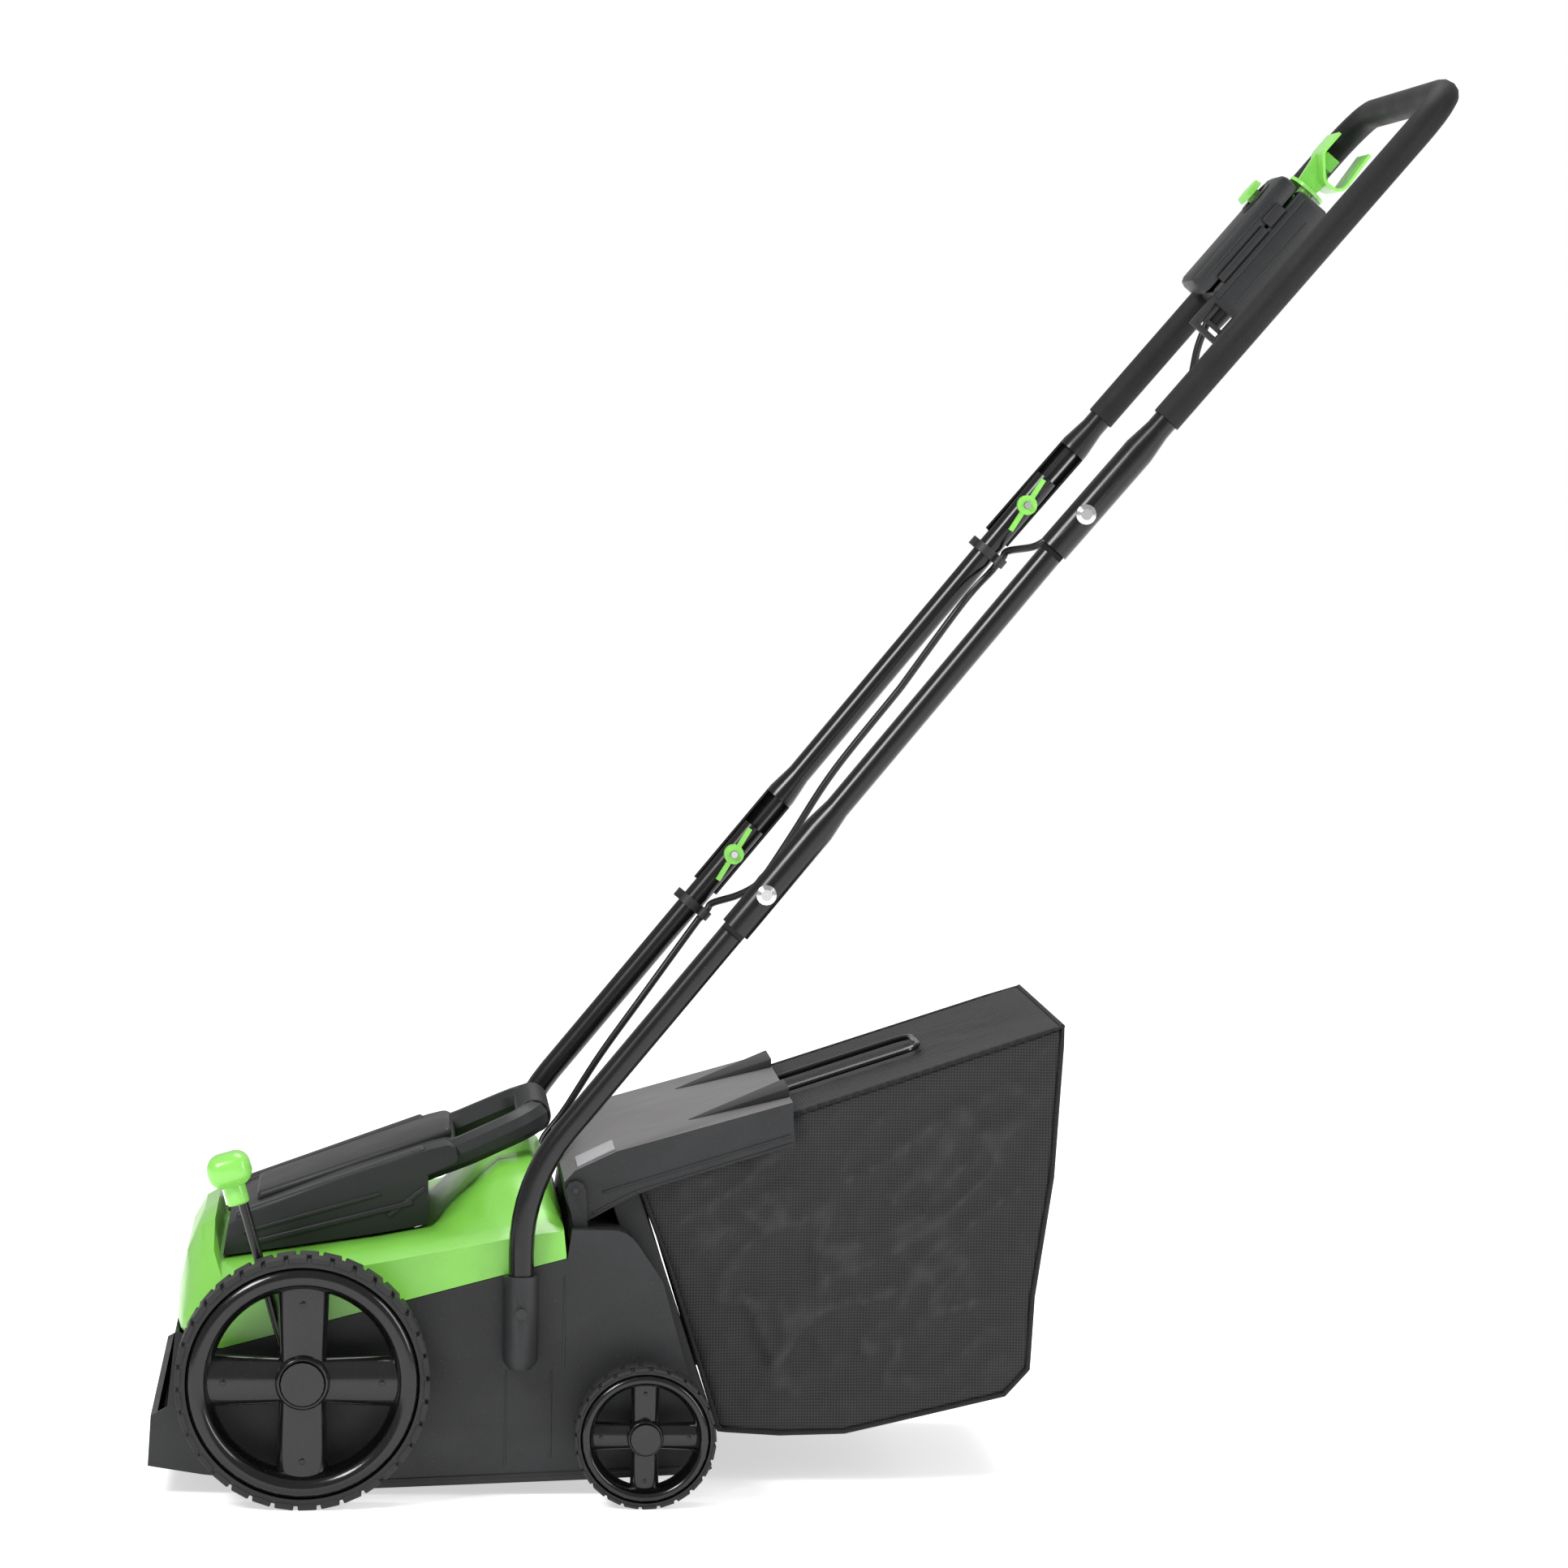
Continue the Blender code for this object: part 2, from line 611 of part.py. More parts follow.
def make_blades(y_low, y_high):
    """A drum with rows of three-pointed blades, each row turned a little from the last."""
    x, z = REEL
    drum = across("blade_reel", REEL, y_low, y_high, 0.015, sides=12)
    place = Matrix.Translation((x, 0, z))
    for k in range(BLADES):
        y = y_low + 0.008 + k * (y_high - y_low - 0.016) / (BLADES - 1)
        star = []
        for point in range(3):
            turn = 120 * point + 25 * k
            star += arc((0, 0), BLADE_TIP, turn - 4, turn + 4, 1)
            star += arc((0, 0), 0.018, turn + 40, turn + 80, 1)
        join(drum, outline("blade", star, y - 0.001, y + 0.001, at=place))
    cut(drum, across("bore", REEL, -0.3, 0.3, REEL_SHAFT + GAP, sides=12))
    finish(drum, "blade", "reel")


# Wheels

def make_wheel(axle, side, radius, width, inner, bore, lugs, body, name):
    """Hub with four round spokes and a rounded rim, a lugged tread and a cap."""
    x, z = axle
    y_in, y_out = side * inner, side * (inner + width)
    y_mid = (y_in + y_out) / 2
    rim_out = radius * 0.91
    rim_in = radius * 0.72
    half = width / 2
    place = wheel_place(x, z, y_mid, side)
    profile = [
        (rim_in, -half + 0.006), (rim_in + 0.004, -half + 0.001), (rim_out - 0.003, -half + 0.001),
        (rim_out, -half + 0.004), (rim_out, half - 0.004), (rim_out - 0.003, half - 0.001),
        (rim_in + 0.006, half - 0.001), (rim_in, half - 0.008),
    ]
    wheel = turned(name.replace("#", "wheel"), profile, 32, place)
    for turn in (0, math.pi / 2):
        reach = Vector((math.cos(turn), 0, math.sin(turn))) * (rim_in + 0.004)
        centre = Vector((x, y_mid - side * 0.001, z))
        spoke = radius * 0.17
        join(wheel, cylinder("spoke", centre - reach, centre + reach, spoke, sides=12))
    hub = sorted((y_in + side * 0.001, y_out - side * 0.004))
    join(wheel, across("hub", axle, *hub, radius * 0.20 + 0.003, sides=20))
    cut(wheel, across("bore", axle, *sorted((y_in - side * 0.01, y_out + side * 0.01)), bore, sides=12))
    finish(wheel, "gloss", body)
    make_tread(rim_out + GAP, radius, width, lugs, place, body, name.replace("#", "tread"))
    cap = sorted((y_out - side * (0.004 - GAP), y_out - side * 0.0005))
    disc = across(name.replace("#", "hubcap"), axle, *cap, radius * 0.12 + 0.005, sides=20)
    finish(disc, "black", body)


def make_tread(inner, radius, width, lugs, place, body, name):
    """A band whose outer face rises and falls. Each lug is flat, and one faces the ground."""
    half = width / 2
    step = 2 * math.pi / (lugs * 4)
    top = radius / math.cos(step / 2)
    bm = bmesh.new()
    rows = []
    for k in range(lugs * 4):
        turn = (k - 0.5) * step
        outer = top if k % 4 < 2 else top - 0.0035
        section = [(inner, -half + 0.002), (outer, -half + 0.004), (outer, half - 0.004), (inner, half - 0.002)]
        rows.append([bm.verts.new((r * math.cos(turn), r * math.sin(turn), h)) for r, h in section])
    for here, after in zip(rows, rows[1:] + rows[:1]):
        for i in range(4):
            j = (i + 1) % 4
            bm.faces.new((here[i], after[i], after[j], here[j]))
    bmesh.ops.recalc_face_normals(bm, faces=bm.faces)
    finish(mesh_object(name, bm, place), "rubber", body, 20)


def make_wheels():
    for label, side in SIDES.items():
        make_wheel((0.0, FRONT_RADIUS), side, FRONT_RADIUS, FRONT_WIDTH, FRONT_INNER,
                   FRONT_STUB + RUN, 32, "front_wheel_" + label, "front_#_" + label)
        make_wheel(REAR_CENTRE, side, REAR_RADIUS, REAR_WIDTH, FRONT_INNER,
                   REAR_AXLE + RUN, 24, "rear_wheel_" + label, "rear_#_" + label)
    reach = FRONT_INNER + REAR_WIDTH - 0.0045
    finish(across("rear_axle", REAR_CENTRE, -reach, reach, REAR_AXLE, sides=12), "steel", "deck")


def make_crank():
    """The front axle: a rod across the deck with a cranked stub at each end, and its lever."""
    px, pz = CRANK_PIVOT
    web = DECK_HALF + WHEEL_SPACE / 2 - 0.002
    rod = across("crank_axle", CRANK_PIVOT, -web, web, CRANK_ROD, sides=12)
    for side in SIDES.values():
        y = side * web
        join(rod, cylinder("web", (px, y, pz), (0.0, y, FRONT_RADIUS), CRANK_ROD - 0.0005, sides=12))
        ends = sorted((y - side * 0.003, side * (FRONT_INNER + FRONT_WIDTH - 0.0045)))
        join(rod, across("stub", (0.0, FRONT_RADIUS), *ends, FRONT_STUB, sides=12))
    lever_y = -web
    direction = (Vector((LEVER_TOP[0], 0, LEVER_TOP[1])) - Vector((px, 0, pz))).normalized()
    foot = Vector((px, lever_y, pz)) + direction * (CRANK_ROD + 0.0012)
    top = Vector((LEVER_TOP[0], lever_y, LEVER_TOP[1]))
    finish(rod, "steel", "front_crank")
    finish(cylinder("depth_lever_rod", foot, top, LEVER_ROD, sides=12), "black", "front_crank")
    make_knob(top + direction * GAP, direction)


def make_knob(foot, direction):
    """A neck that widens into a rounded, flattened head."""
    neck = cylinder("depth_lever_knob", foot, foot + direction * 0.016, 0.0065, 0.0085, sides=12)
    bm = bmesh.new()
    bmesh.ops.create_uvsphere(bm, u_segments=14, v_segments=8, radius=1.0)
    bmesh.ops.scale(bm, vec=(0.0185, 0.0145, 0.0145), verts=bm.verts)
    centre = foot + direction * 0.026 + Vector((-0.006, 0, 0))
    head = mesh_object("head", bm, Matrix.Translation(centre) @ Matrix.Rotation(math.radians(8), 4, "Y"))
    finish(join(neck, head), "shell", "front_crank", 60)


# Handle

def handle_frame(bolt, angle, side=0):
    """Axes with X along the tube from a bolt, Z up out of the tube's front, Y as the machine's."""
    place = Matrix.Translation((bolt[0], side * HANDLE_HALF, bolt[1]))
    return place @ Matrix.Rotation(-angle, 4, "Y")


def at_handle(bolt, angle, distance, y, offset=0.0):
    return handle_frame(bolt, angle) @ Vector((distance, y, offset))


def half_cutter(bolt, angle, side, low, high, inward):
    """A block that takes away a tube's inward or outward half between two distances."""
    y_far = -side * 0.03 if inward else side * 0.03
    y_near = side * 0.00015 if inward else -side * 0.00015
    y_low, y_high = sorted((y_near, y_far))
    return block("half", (low, y_low, -0.03), (high, y_high, 0.03), handle_frame(bolt, angle, side))


def lengthwise(name, bolt, angle, side, low, high, radius, end_radius=None, sides=12):
    frame = handle_frame(bolt, angle, side)
    return cylinder(name, frame @ Vector((low, 0, 0)), frame @ Vector((high, 0, 0)), radius, end_radius, sides)


def bolt_hole(bolt, side):
    ends = sorted((side * (HANDLE_HALF - 0.03), side * (HANDLE_HALF + 0.03)))
    return across("bolt_hole", bolt, *ends, BOLT + RUN, sides=8, twist=11)


def cup_scales(radius, wide):
    """Widths along a tube that starts as a cup: wide, wide, then the tube's own."""
    return [wide / radius, wide / radius, 1.0]


def cut_cup(obj, bolt, angle, side):
    """Opens a tube's wide lower end towards the middle of the machine."""
    cut(obj, half_cutter(bolt, angle, side, -CUP_BELOW - 0.01, CUP_ABOVE - 0.005, True))
    cut(obj, bolt_hole(bolt, side))


def cut_tongue(obj, bolt, angle, side):
    """Leaves a tube's inward half round the bolt, so that the cup can swing past it."""
    cut(obj, half_cutter(bolt, angle, side, -TONGUE_BELOW, TONGUE_ABOVE + 0.01, False))
    cut(obj, bolt_hole(bolt, side))


def make_lower_tubes():
    slope = math.tan(LOWER_ANGLE)
    corner_z = LOWER_BOLT[1] - (LOWER_BOLT[0] - TUBE_X) * slope
    for label, side in SIDES.items():
        y = side * HANDLE_HALF
        end = at_handle(LOWER_BOLT, LOWER_ANGLE, TONGUE_ABOVE, y)
        stop = at_handle(LOWER_BOLT, LOWER_ANGLE, -TONGUE_BELOW - 0.004, y)
        foot = (TUBE_X, y, SOCKET_Z[0] + 0.012)
        path = bent([foot, (TUBE_X, y, corner_z, LOWER_BEND), tuple(end)], 8)
        bore = bent([(TUBE_X, y, foot[2] - 0.01), (TUBE_X, y, corner_z, LOWER_BEND), tuple(stop)], 8)
        pipe = tube("lower_tube_" + label, path, TUBE)
        cut(pipe, tube("bore", bore, TUBE - TUBE_WALL, 2))
        cut_tongue(pipe, LOWER_BOLT, LOWER_ANGLE, side)
        outer = side * (HANDLE_HALF + 0.030)
        cut(pipe, across("hole", (TUBE_X, SCREW_Z), *sorted((side * 0.1, outer)), 0.0027, sides=8))
        finish(pipe, "tube", "deck")
        head = sorted((side * (HANDLE_HALF + SOCKET + GAP), side * (HANDLE_HALF + SOCKET + 0.0025)))
        screw = across("socket_screw_" + label, (TUBE_X, SCREW_Z), *head, 0.0045, sides=12)
        shank = sorted((side * (DECK_HALF - WALL + 0.0005), side * (HANDLE_HALF + SOCKET + 0.001)))
        join(screw, across("shank", (TUBE_X, SCREW_Z), *shank, 0.0023, sides=8))
        finish(screw, "steel", "deck")


def make_middle_tubes():
    for label, side in SIDES.items():
        y = side * HANDLE_HALF
        outer = [-CUP_BELOW, CUP_ABOVE, CUP_ABOVE + 0.022, MIDDLE_LENGTH + TONGUE_ABOVE]
        inner = [-CUP_BELOW - 0.01, CUP_ABOVE - 0.002, CUP_ABOVE + 0.020, MIDDLE_LENGTH - TONGUE_BELOW - 0.004]
        path = [at_handle(LOWER_BOLT, LOWER_ANGLE, d, y) for d in outer]
        bore = [at_handle(LOWER_BOLT, LOWER_ANGLE, d, y) for d in inner]
        inside = TUBE - TUBE_WALL
        pipe = tube("mid_tube_" + label, path, TUBE, scales=cup_scales(TUBE, CUP))
        cut(pipe, tube("bore", bore, inside, scales=cup_scales(inside, CUP - CUP_WALL)))
        cut_cup(pipe, LOWER_BOLT, LOWER_ANGLE, side)
        tongue = half_cutter(UPPER_BOLT, LOWER_ANGLE, side, -TONGUE_BELOW, TONGUE_ABOVE + 0.01, False)
        cut(pipe, tongue, bolt_hole(UPPER_BOLT, side))
        finish(pipe, "tube", "handle_middle")


def grip_path(*starts):
    """The U of the upper handle: up one tube from its start points, round the crossbar and down the other."""
    ends = [[tuple(at_handle(UPPER_BOLT, UPPER_ANGLE, d, y)) for d in starts] for y in (-HANDLE_HALF, HANDLE_HALF)]
    tops = [at_handle(UPPER_BOLT, UPPER_ANGLE, UPPER_LENGTH, y) for y in (-HANDLE_HALF, HANDLE_HALF)]
    corners = [(*top, UPPER_BEND) for top in tops]
    return bent(ends[0] + corners + ends[1][::-1], 6)


def make_upper_handle():
    inside = TUBE - TUBE_WALL
    path = grip_path(-CUP_BELOW, CUP_ABOVE, CUP_ABOVE + 0.022)
    middle = [1.0] * (len(path) - 6)
    scales = cup_scales(TUBE, CUP)
    bar = tube("upper_handle", path, TUBE, scales=scales + middle + scales[::-1])
    scales = cup_scales(inside, CUP - CUP_WALL)
    bore = grip_path(-CUP_BELOW - 0.01, CUP_ABOVE - 0.002, CUP_ABOVE + 0.020)
    cut(bar, tube("bore", bore, inside, scales=scales + middle + scales[::-1]))
    for side in SIDES.values():
        cut_cup(bar, UPPER_BOLT, UPPER_ANGLE, side)
    finish(bar, "tube", "handle_upper")
    sleeve = tube("foam_grip", grip_path(FOAM_START), FOAM)
    cut(sleeve, tube("inside", grip_path(FOAM_START - 0.01), TUBE + GAP))
    finish(sleeve, "foam", "handle_upper")


def make_joint_hardware(place, bolt, angle, body):
    """A carriage bolt with a domed head outside and a wing nut inside, on each side."""
    for label, side in SIDES.items():
        outer = HANDLE_HALF + CUP + GAP
        inner = HANDLE_HALF - TUBE - 0.013
        name = f"{place}_bolt_{label}"
        shank = across(name, bolt, *sorted((side * inner, side * (outer + 0.001))), BOLT, sides=12)
        dome = across("dome", bolt, *sorted((side * outer, side * (outer + 0.002))), BOLT_HEAD, sides=16)
        radii = (BOLT_HEAD, 0.0045) if side > 0 else (0.0045, BOLT_HEAD)
        crown = across("crown", bolt, *sorted((side * (outer + 0.002), side * (outer + 0.0045))), *radii, sides=16)
        finish(join(shank, dome, crown), "steel", body)
        make_wing_nut(f"{place}_wing_nut_{label}", bolt, angle, side)


def make_wing_nut(name, bolt, angle, side):
    near = HANDLE_HALF - TUBE - GAP
    frame = handle_frame(bolt, angle + math.radians(8))
    ring = sorted((side * near, side * (near - 0.009)))
    nut = across(name, bolt, *ring, 0.0085, sides=16)
    y_low, y_high = sorted((side * (near - 0.002), side * (near - 0.0085)))
    join(nut, block("wings", (-0.026, y_low, -0.002), (0.026, y_high, 0.002), frame))
    cut(nut, across("thread", bolt, *sorted((side * 0.1, side * 0.3)), BOLT + RUN, sides=12))
    finish(nut, "shell", name)


# Switch box

def box_frame():
    return handle_frame(UPPER_BOLT, UPPER_ANGLE)


def box_span():
    """The box's Y range, beside the foam on the left tube."""
    far = HANDLE_HALF - FOAM - GAP
    return far - BOX_WIDTH, far


def make_switch_box():
    """Two shells that meet in the plane of the tubes, the clamp, the inlet, the button and the bar."""
    y_low, y_high = box_span()
    y_mid = (y_low + y_high) / 2
    back, front = BOX_DEPTH
    seam = 0.008
    frame = box_frame()
    inset = BOX_WALL
    shell = block("switch_box_front", (BOX_START, y_low, seam + GAP), (BOX_END, y_high, front), frame)
    bevel(shell, 0.006, 2)
    room = ((BOX_START + inset, y_low + inset, seam - 0.01), (BOX_END - inset, y_high - inset, front - inset))
    cut(shell, block("room", *room, frame))
    button = frame @ Vector((BUTTON_AT, y_mid, front))
    normal = (frame.to_3x3() @ Vector((0, 0, 1))).normalized()
    cut(shell, cylinder("button_hole", button - normal * 0.01, button + normal * 0.01, 0.0065 + GAP, sides=16))
    finish(shell, "black", "handle_upper")

    tub = block("switch_box_back", (BOX_START + 0.004, y_low, back), (BOX_END, y_high, seam), frame)
    bevel(tub, 0.005, 2)
    room = ((BOX_START + 0.004 + inset, y_low + inset, back + inset), (BOX_END - inset, y_high - inset, seam + 0.01))
    cut(tub, block("room", *room, frame))
    hook = block("hook", (BOX_START - 0.026, y_low, back), (BOX_START + 0.010, y_low + 0.008, 0.004), frame)
    join(tub, hook)
    window = block("window", (BOX_START - 0.021, y_low - 0.01, back + 0.005), (BOX_START + 0.001, y_low + 0.02, -0.001), frame)
    cut(tub, window)
    end = frame @ Vector((BOX_END, y_mid, 0))
    along = (frame.to_3x3() @ Vector((1, 0, 0))).normalized()
    cut(tub, cylinder("bar_hole", end - along * 0.012, end + along * 0.01, BAR + GAP, sides=12))
    sleeve = frame @ Vector((BOX_START + 0.004, y_mid, -0.004))
    cut(tub, cylinder("lead_hole", sleeve - along * 0.01, sleeve + along * 0.01, 0.0042, sides=12))
    finish(tub, "black", "handle_upper")

    knob = cylinder("lock_button", button + normal * 0.0055, button + normal * 0.0105, BUTTON_RADIUS, BUTTON_RADIUS - 0.001, sides=20)
    join(knob, cylinder("stem", button - normal * 0.010, button + normal * 0.006, 0.0065, sides=16))
    finish(knob, "shell", "lock_button")
    make_switch_bar(frame, y_mid)
    make_clamp(frame, y_high)
    make_inlet(frame, y_low, y_mid)


def make_switch_bar(frame, y_mid):
    """The pull bar: a plunger with a round flange, a web, and a hollow trough for the fingers."""
    end = BOX_END
    start = frame @ Vector((end - BAR_INSIDE, y_mid, 0))
    rim = frame @ Vector((end + 0.0080, y_mid, 0))
    along = (frame.to_3x3() @ Vector((1, 0, 0))).normalized()
    bar = cylinder("switch_bar", start, rim, BAR, sides=12)
    join(bar, cylinder("flange", rim - along * 0.003, rim, 0.017, sides=20))
    web = [(end + 0.007, -0.007), (end + 0.007, 0.011), (end + 0.034, 0.015), (end + 0.040, 0.008), (end + 0.022, -0.010)]
    join(bar, outline("web", web, y_mid - 0.004, y_mid + 0.004, at=frame))
    trough = [
        (end + 0.058, 0.0145), (end + 0.036, 0.0145, 0.010), (end + 0.0170, -0.004, 0.010),
        (end + 0.0185, -0.023, 0.010), (end + 0.061, -0.0195), (end + 0.061, -0.0170),
        (end + 0.021, -0.0205, 0.008), (end + 0.0195, -0.0045, 0.008), (end + 0.037, 0.0120, 0.008), (end + 0.058, 0.0120),
    ]
    y_low, y_high = box_span()
    join(bar, outline("trough", trough, y_low + 0.004, y_high - 0.003, 3, frame))
    finish(bar, "shell", "switch_bar")


def make_clamp(frame, y_high):
    """The strap round the foam that holds the box to the left tube."""
    centre = BOX_START + 0.050
    band = lengthwise("switch_clamp", UPPER_BOLT, UPPER_ANGLE, 1, centre - 0.012, centre + 0.012, FOAM + 0.003, sides=16)
    cut(band, lengthwise("inside", UPPER_BOLT, UPPER_ANGLE, 1, centre - 0.02, centre + 0.02, FOAM + GAP, sides=16))
    away = block("away", (centre - 0.02, y_high - 0.03, -0.03), (centre + 0.02, y_high + GAP, 0.03), frame)
    finish(cut(band, away), "black", "handle_upper")


def make_inlet(frame, y_low, y_mid):
    """The shrouded mains inlet under the box, next to the hook for the extension lead."""
    start = frame @ Vector((BOX_START + 0.0035, y_low + 0.019, -0.012))
    end = frame @ Vector((BOX_START - 0.014, y_low + 0.019, -0.012))
    along = (end - start).normalized()
    inlet = cylinder("mains_inlet", start, end, 0.0095, 0.0085, sides=16)
    cut(inlet, cylinder("socket", start + along * 0.004, end + along * 0.01, 0.0065, sides=16))
    finish(inlet, "black", "handle_upper")


# Lead

def lead_points():
    """The motor lead from its cover to the switch box, as points along the left tubes."""
    y_mid = sum(box_span()) / 2
    outlet = box_frame() @ Vector((BOX_START + 0.006, y_mid, -0.004))
    slack = HANDLE_HALF - TUBE - 0.0225
    lower = [
        Vector((0.196, 0.166, 0.2225)), Vector((0.199, 0.1735, 0.238)), Vector((0.217, 0.1765, 0.262)),
        Vector((0.247, 0.1755, 0.310)), Vector((0.284, 0.1785, 0.362)), *clip_lead_points("lower"),
        at_handle(LOWER_BOLT, LOWER_ANGLE, -0.026, HANDLE_HALF - 0.021, -0.024),
        at_handle(LOWER_BOLT, LOWER_ANGLE, -0.010, slack, -0.0296),
        at_handle(LOWER_BOLT, LOWER_ANGLE, 0.0, slack, -0.030),
    ]
    middle = [
        at_handle(LOWER_BOLT, LOWER_ANGLE, 0.0, slack, -0.030),
        at_handle(LOWER_BOLT, LOWER_ANGLE, 0.010, slack, -0.0300),
        at_handle(LOWER_BOLT, LOWER_ANGLE, 0.045, slack, -0.026), at_handle(LOWER_BOLT, LOWER_ANGLE, 0.110, slack, -0.018),
        at_handle(LOWER_BOLT, LOWER_ANGLE, 0.200, slack, -0.016), at_handle(LOWER_BOLT, LOWER_ANGLE, 0.290, slack, -0.010),
        *clip_lead_points("upper"),
        at_handle(UPPER_BOLT, LOWER_ANGLE, -0.024, slack + 0.001, -0.026),
        at_handle(UPPER_BOLT, LOWER_ANGLE, -0.009, slack - 0.0035, -0.0306),
        at_handle(UPPER_BOLT, LOWER_ANGLE, 0.0, slack - 0.004, -0.031),
    ]
    upper = [
        at_handle(UPPER_BOLT, LOWER_ANGLE, 0.0, slack - 0.004, -0.031),
        at_handle(UPPER_BOLT, LOWER_ANGLE, 0.009, slack - 0.0045, -0.0314),
        at_handle(UPPER_BOLT, UPPER_ANGLE, 0.045, slack - 0.008, -0.036), at_handle(UPPER_BOLT, UPPER_ANGLE, 0.110, slack - 0.014, -0.041),
        at_handle(UPPER_BOLT, UPPER_ANGLE, 0.160, y_mid, -0.036), at_handle(UPPER_BOLT, UPPER_ANGLE, 0.196, y_mid, -0.018),
        outlet - (outlet - at_handle(UPPER_BOLT, UPPER_ANGLE, 0.196, y_mid, -0.018)).normalized() * 0.012,
        outlet,
    ]
    return lower, middle, upper


CLIPS = {"lower": -0.056, "upper": MIDDLE_LENGTH - 0.052}


def clip_lead_points(which):
    """Where the lead enters and leaves a clip, below and beside the left tube."""
    return [
        at_handle(LOWER_BOLT, LOWER_ANGLE, CLIPS[which] + along, HANDLE_HALF - 0.008, -(TUBE + LEAD + 0.0006))
        for along in (-0.012, -0.005, 0.005, 0.012)
    ]


def make_lead():
    for name, body, points in zip(("lower", "middle", "upper"), ("deck", "handle_middle", "handle_upper"), lead_points()):
        route = smooth_route(points, 4)
        if name != "lower":
            route[0] = route[0] + (route[1] - route[0]).normalized() * 0.0010
        finish(tube(f"motor_lead_{name}", route, LEAD, 2), "cable", body)
    for which, body in (("lower", "deck"), ("upper", "handle_middle")):
        make_clip(which, body)
    make_sleeve()


def make_clip(which, body):
    """A ring round the tube with a smaller ring round the lead."""
    distance = CLIPS[which]
    half = 0.004
    band = lengthwise(f"cable_clip_{which}", LOWER_BOLT, LOWER_ANGLE, 1, distance - half, distance + half, TUBE + 0.0025, sides=16)
    _, entry, leave, _ = clip_lead_points(which)
    hold = (entry + leave) / 2
    along = (leave - entry).normalized()
    join(band, cylinder("ring", hold - along * half, hold + along * half, LEAD + 0.0024, sides=12))
    buckle = handle_frame(LOWER_BOLT, LOWER_ANGLE, 1)
    join(band, block("buckle", (distance - half, -0.004, TUBE + 0.001), (distance + half, 0.004, TUBE + 0.006), buckle))
    cut(band, lengthwise("inside", LOWER_BOLT, LOWER_ANGLE, 1, distance - 0.01, distance + 0.01, TUBE + GAP, sides=16))
    cut(band, cylinder("way", hold - along * 0.01, hold + along * 0.01, LEAD + 0.0007, sides=12))
    finish(band, "black", body)


def make_sleeve():
    """The strain relief that grips the lead where it leaves the switch box."""
    route = smooth_route(lead_points()[2][-3:], 3)
    start = route[2]
    end = route[-1] - (route[-1] - route[-2]).normalized() * 0.0065
    sleeve = cylinder("lead_sleeve", start, end, LEAD + 0.0016, LEAD + 0.0026, sides=12)
    cut(sleeve, tube("way", [start - (end - start).normalized() * 0.01, *route[2:], end + (end - start).normalized() * 0.01], LEAD + GAP, 2))
    finish(sleeve, "cable", "handle_upper")


# Flap and bag

def make_flap():
    outer = [
        (0.207, 0.233), (0.2055, 0.248), (0.214, 0.2575), (0.247, 0.273), (0.387, 0.313), (0.389, 0.278),
        (0.305, 0.254), (0.262, 0.238), (0.240, 0.226), (0.224, 0.217), (0.214, 0.217),
    ]
    inner = [
        (0.2105, 0.200), (0.2085, 0.2475), (0.2155, 0.2550), (0.248, 0.2702), (0.400, 0.3138), (0.400, 0.200),
    ]
    flap = outline("rear_flap", outer, -FLAP_HALF, FLAP_HALF)
    cut(flap, outline("hollow", inner, -FLAP_HALF + FLAP_WALL, FLAP_HALF - FLAP_WALL))
    reach = FLAP_HALF + 0.01
    cut(flap, across("pin_way", FLAP_PIN, -reach, reach, PIN + RUN, sides=12))
    finish(flap, "black", "flap")
    reach = FLAP_HALF + 0.006
    finish(across("flap_hinge_pin", FLAP_PIN, -reach, reach, PIN, sides=12), "steel", "deck")
    make_flap_spring()


def make_flap_spring():
    """A torsion spring round the hinge pin."""
    wire, turns, steps = 0.0008, 5, 8
    radius = PIN + wire + 0.0006
    points = []
    for k in range(turns * steps + 1):
        turn = 2 * math.pi * k / steps
        points.append((FLAP_PIN[0] + radius * math.cos(turn), 0.110 + 0.0022 * k / steps, FLAP_PIN[1] + radius * math.sin(turn)))
    finish(tube("flap_spring", points, wire, 1), "steel", "deck")


def bag_outline():
    return [
        (0.262, 0.251), (0.289, 0.180), (0.316, 0.094), (0.331, 0.046), (0.433, 0.044), (0.491, 0.059),
        (0.563, 0.075), (0.582, 0.096), (0.585, 0.155), (0.599, 0.253), (0.606, 0.376), (0.386, 0.303),
        (0.275, 0.2663),
    ]


def make_bag():
    bag = outline("collection_bag", bag_outline(), -BAG_HALF, BAG_HALF)
    bevel(bag, 0.008)
    wall = BAG_WALL
    inner = [
        (0.240, 0.2505), (0.270, 0.170), (0.300, 0.080), (0.318, 0.046 + wall), (0.433, 0.044 + wall),
        (0.491, 0.059 + wall), (0.562, 0.079), (0.579, 0.098), (0.582, 0.155), (0.596, 0.253), (0.602, 0.370),
        (0.386, 0.2995), (0.275, 0.2628),
    ]
    cut(bag, outline("inside", inner, -BAG_HALF + wall, BAG_HALF - wall))
    finish(bag, "fabric", "bag")
    half = BAG_HALF - 0.007
    grip = 0.040
    top, rear = (0.257, 0.264), (0.500, 0.3442)
    leg = [(0.2835, 0.179), (0.3105, 0.093), (0.3255, 0.046)]
    side = [(rear[0], grip, rear[1], 0.014), (top[0], grip, top[1], 0.012), (top[0], half, top[1], 0.012)]
    side += [(x, half, z) for x, z in leg[:-1]] + [(leg[-1][0], half, leg[-1][1], 0.012)]
    other = [(x, -y, z, *radius) for x, y, z, *radius in reversed(side)]
    frame = tube("bag_frame", bent(side + other, 3), WIRE, 2, cyclic=True)
    finish(frame, "tube", "bag")


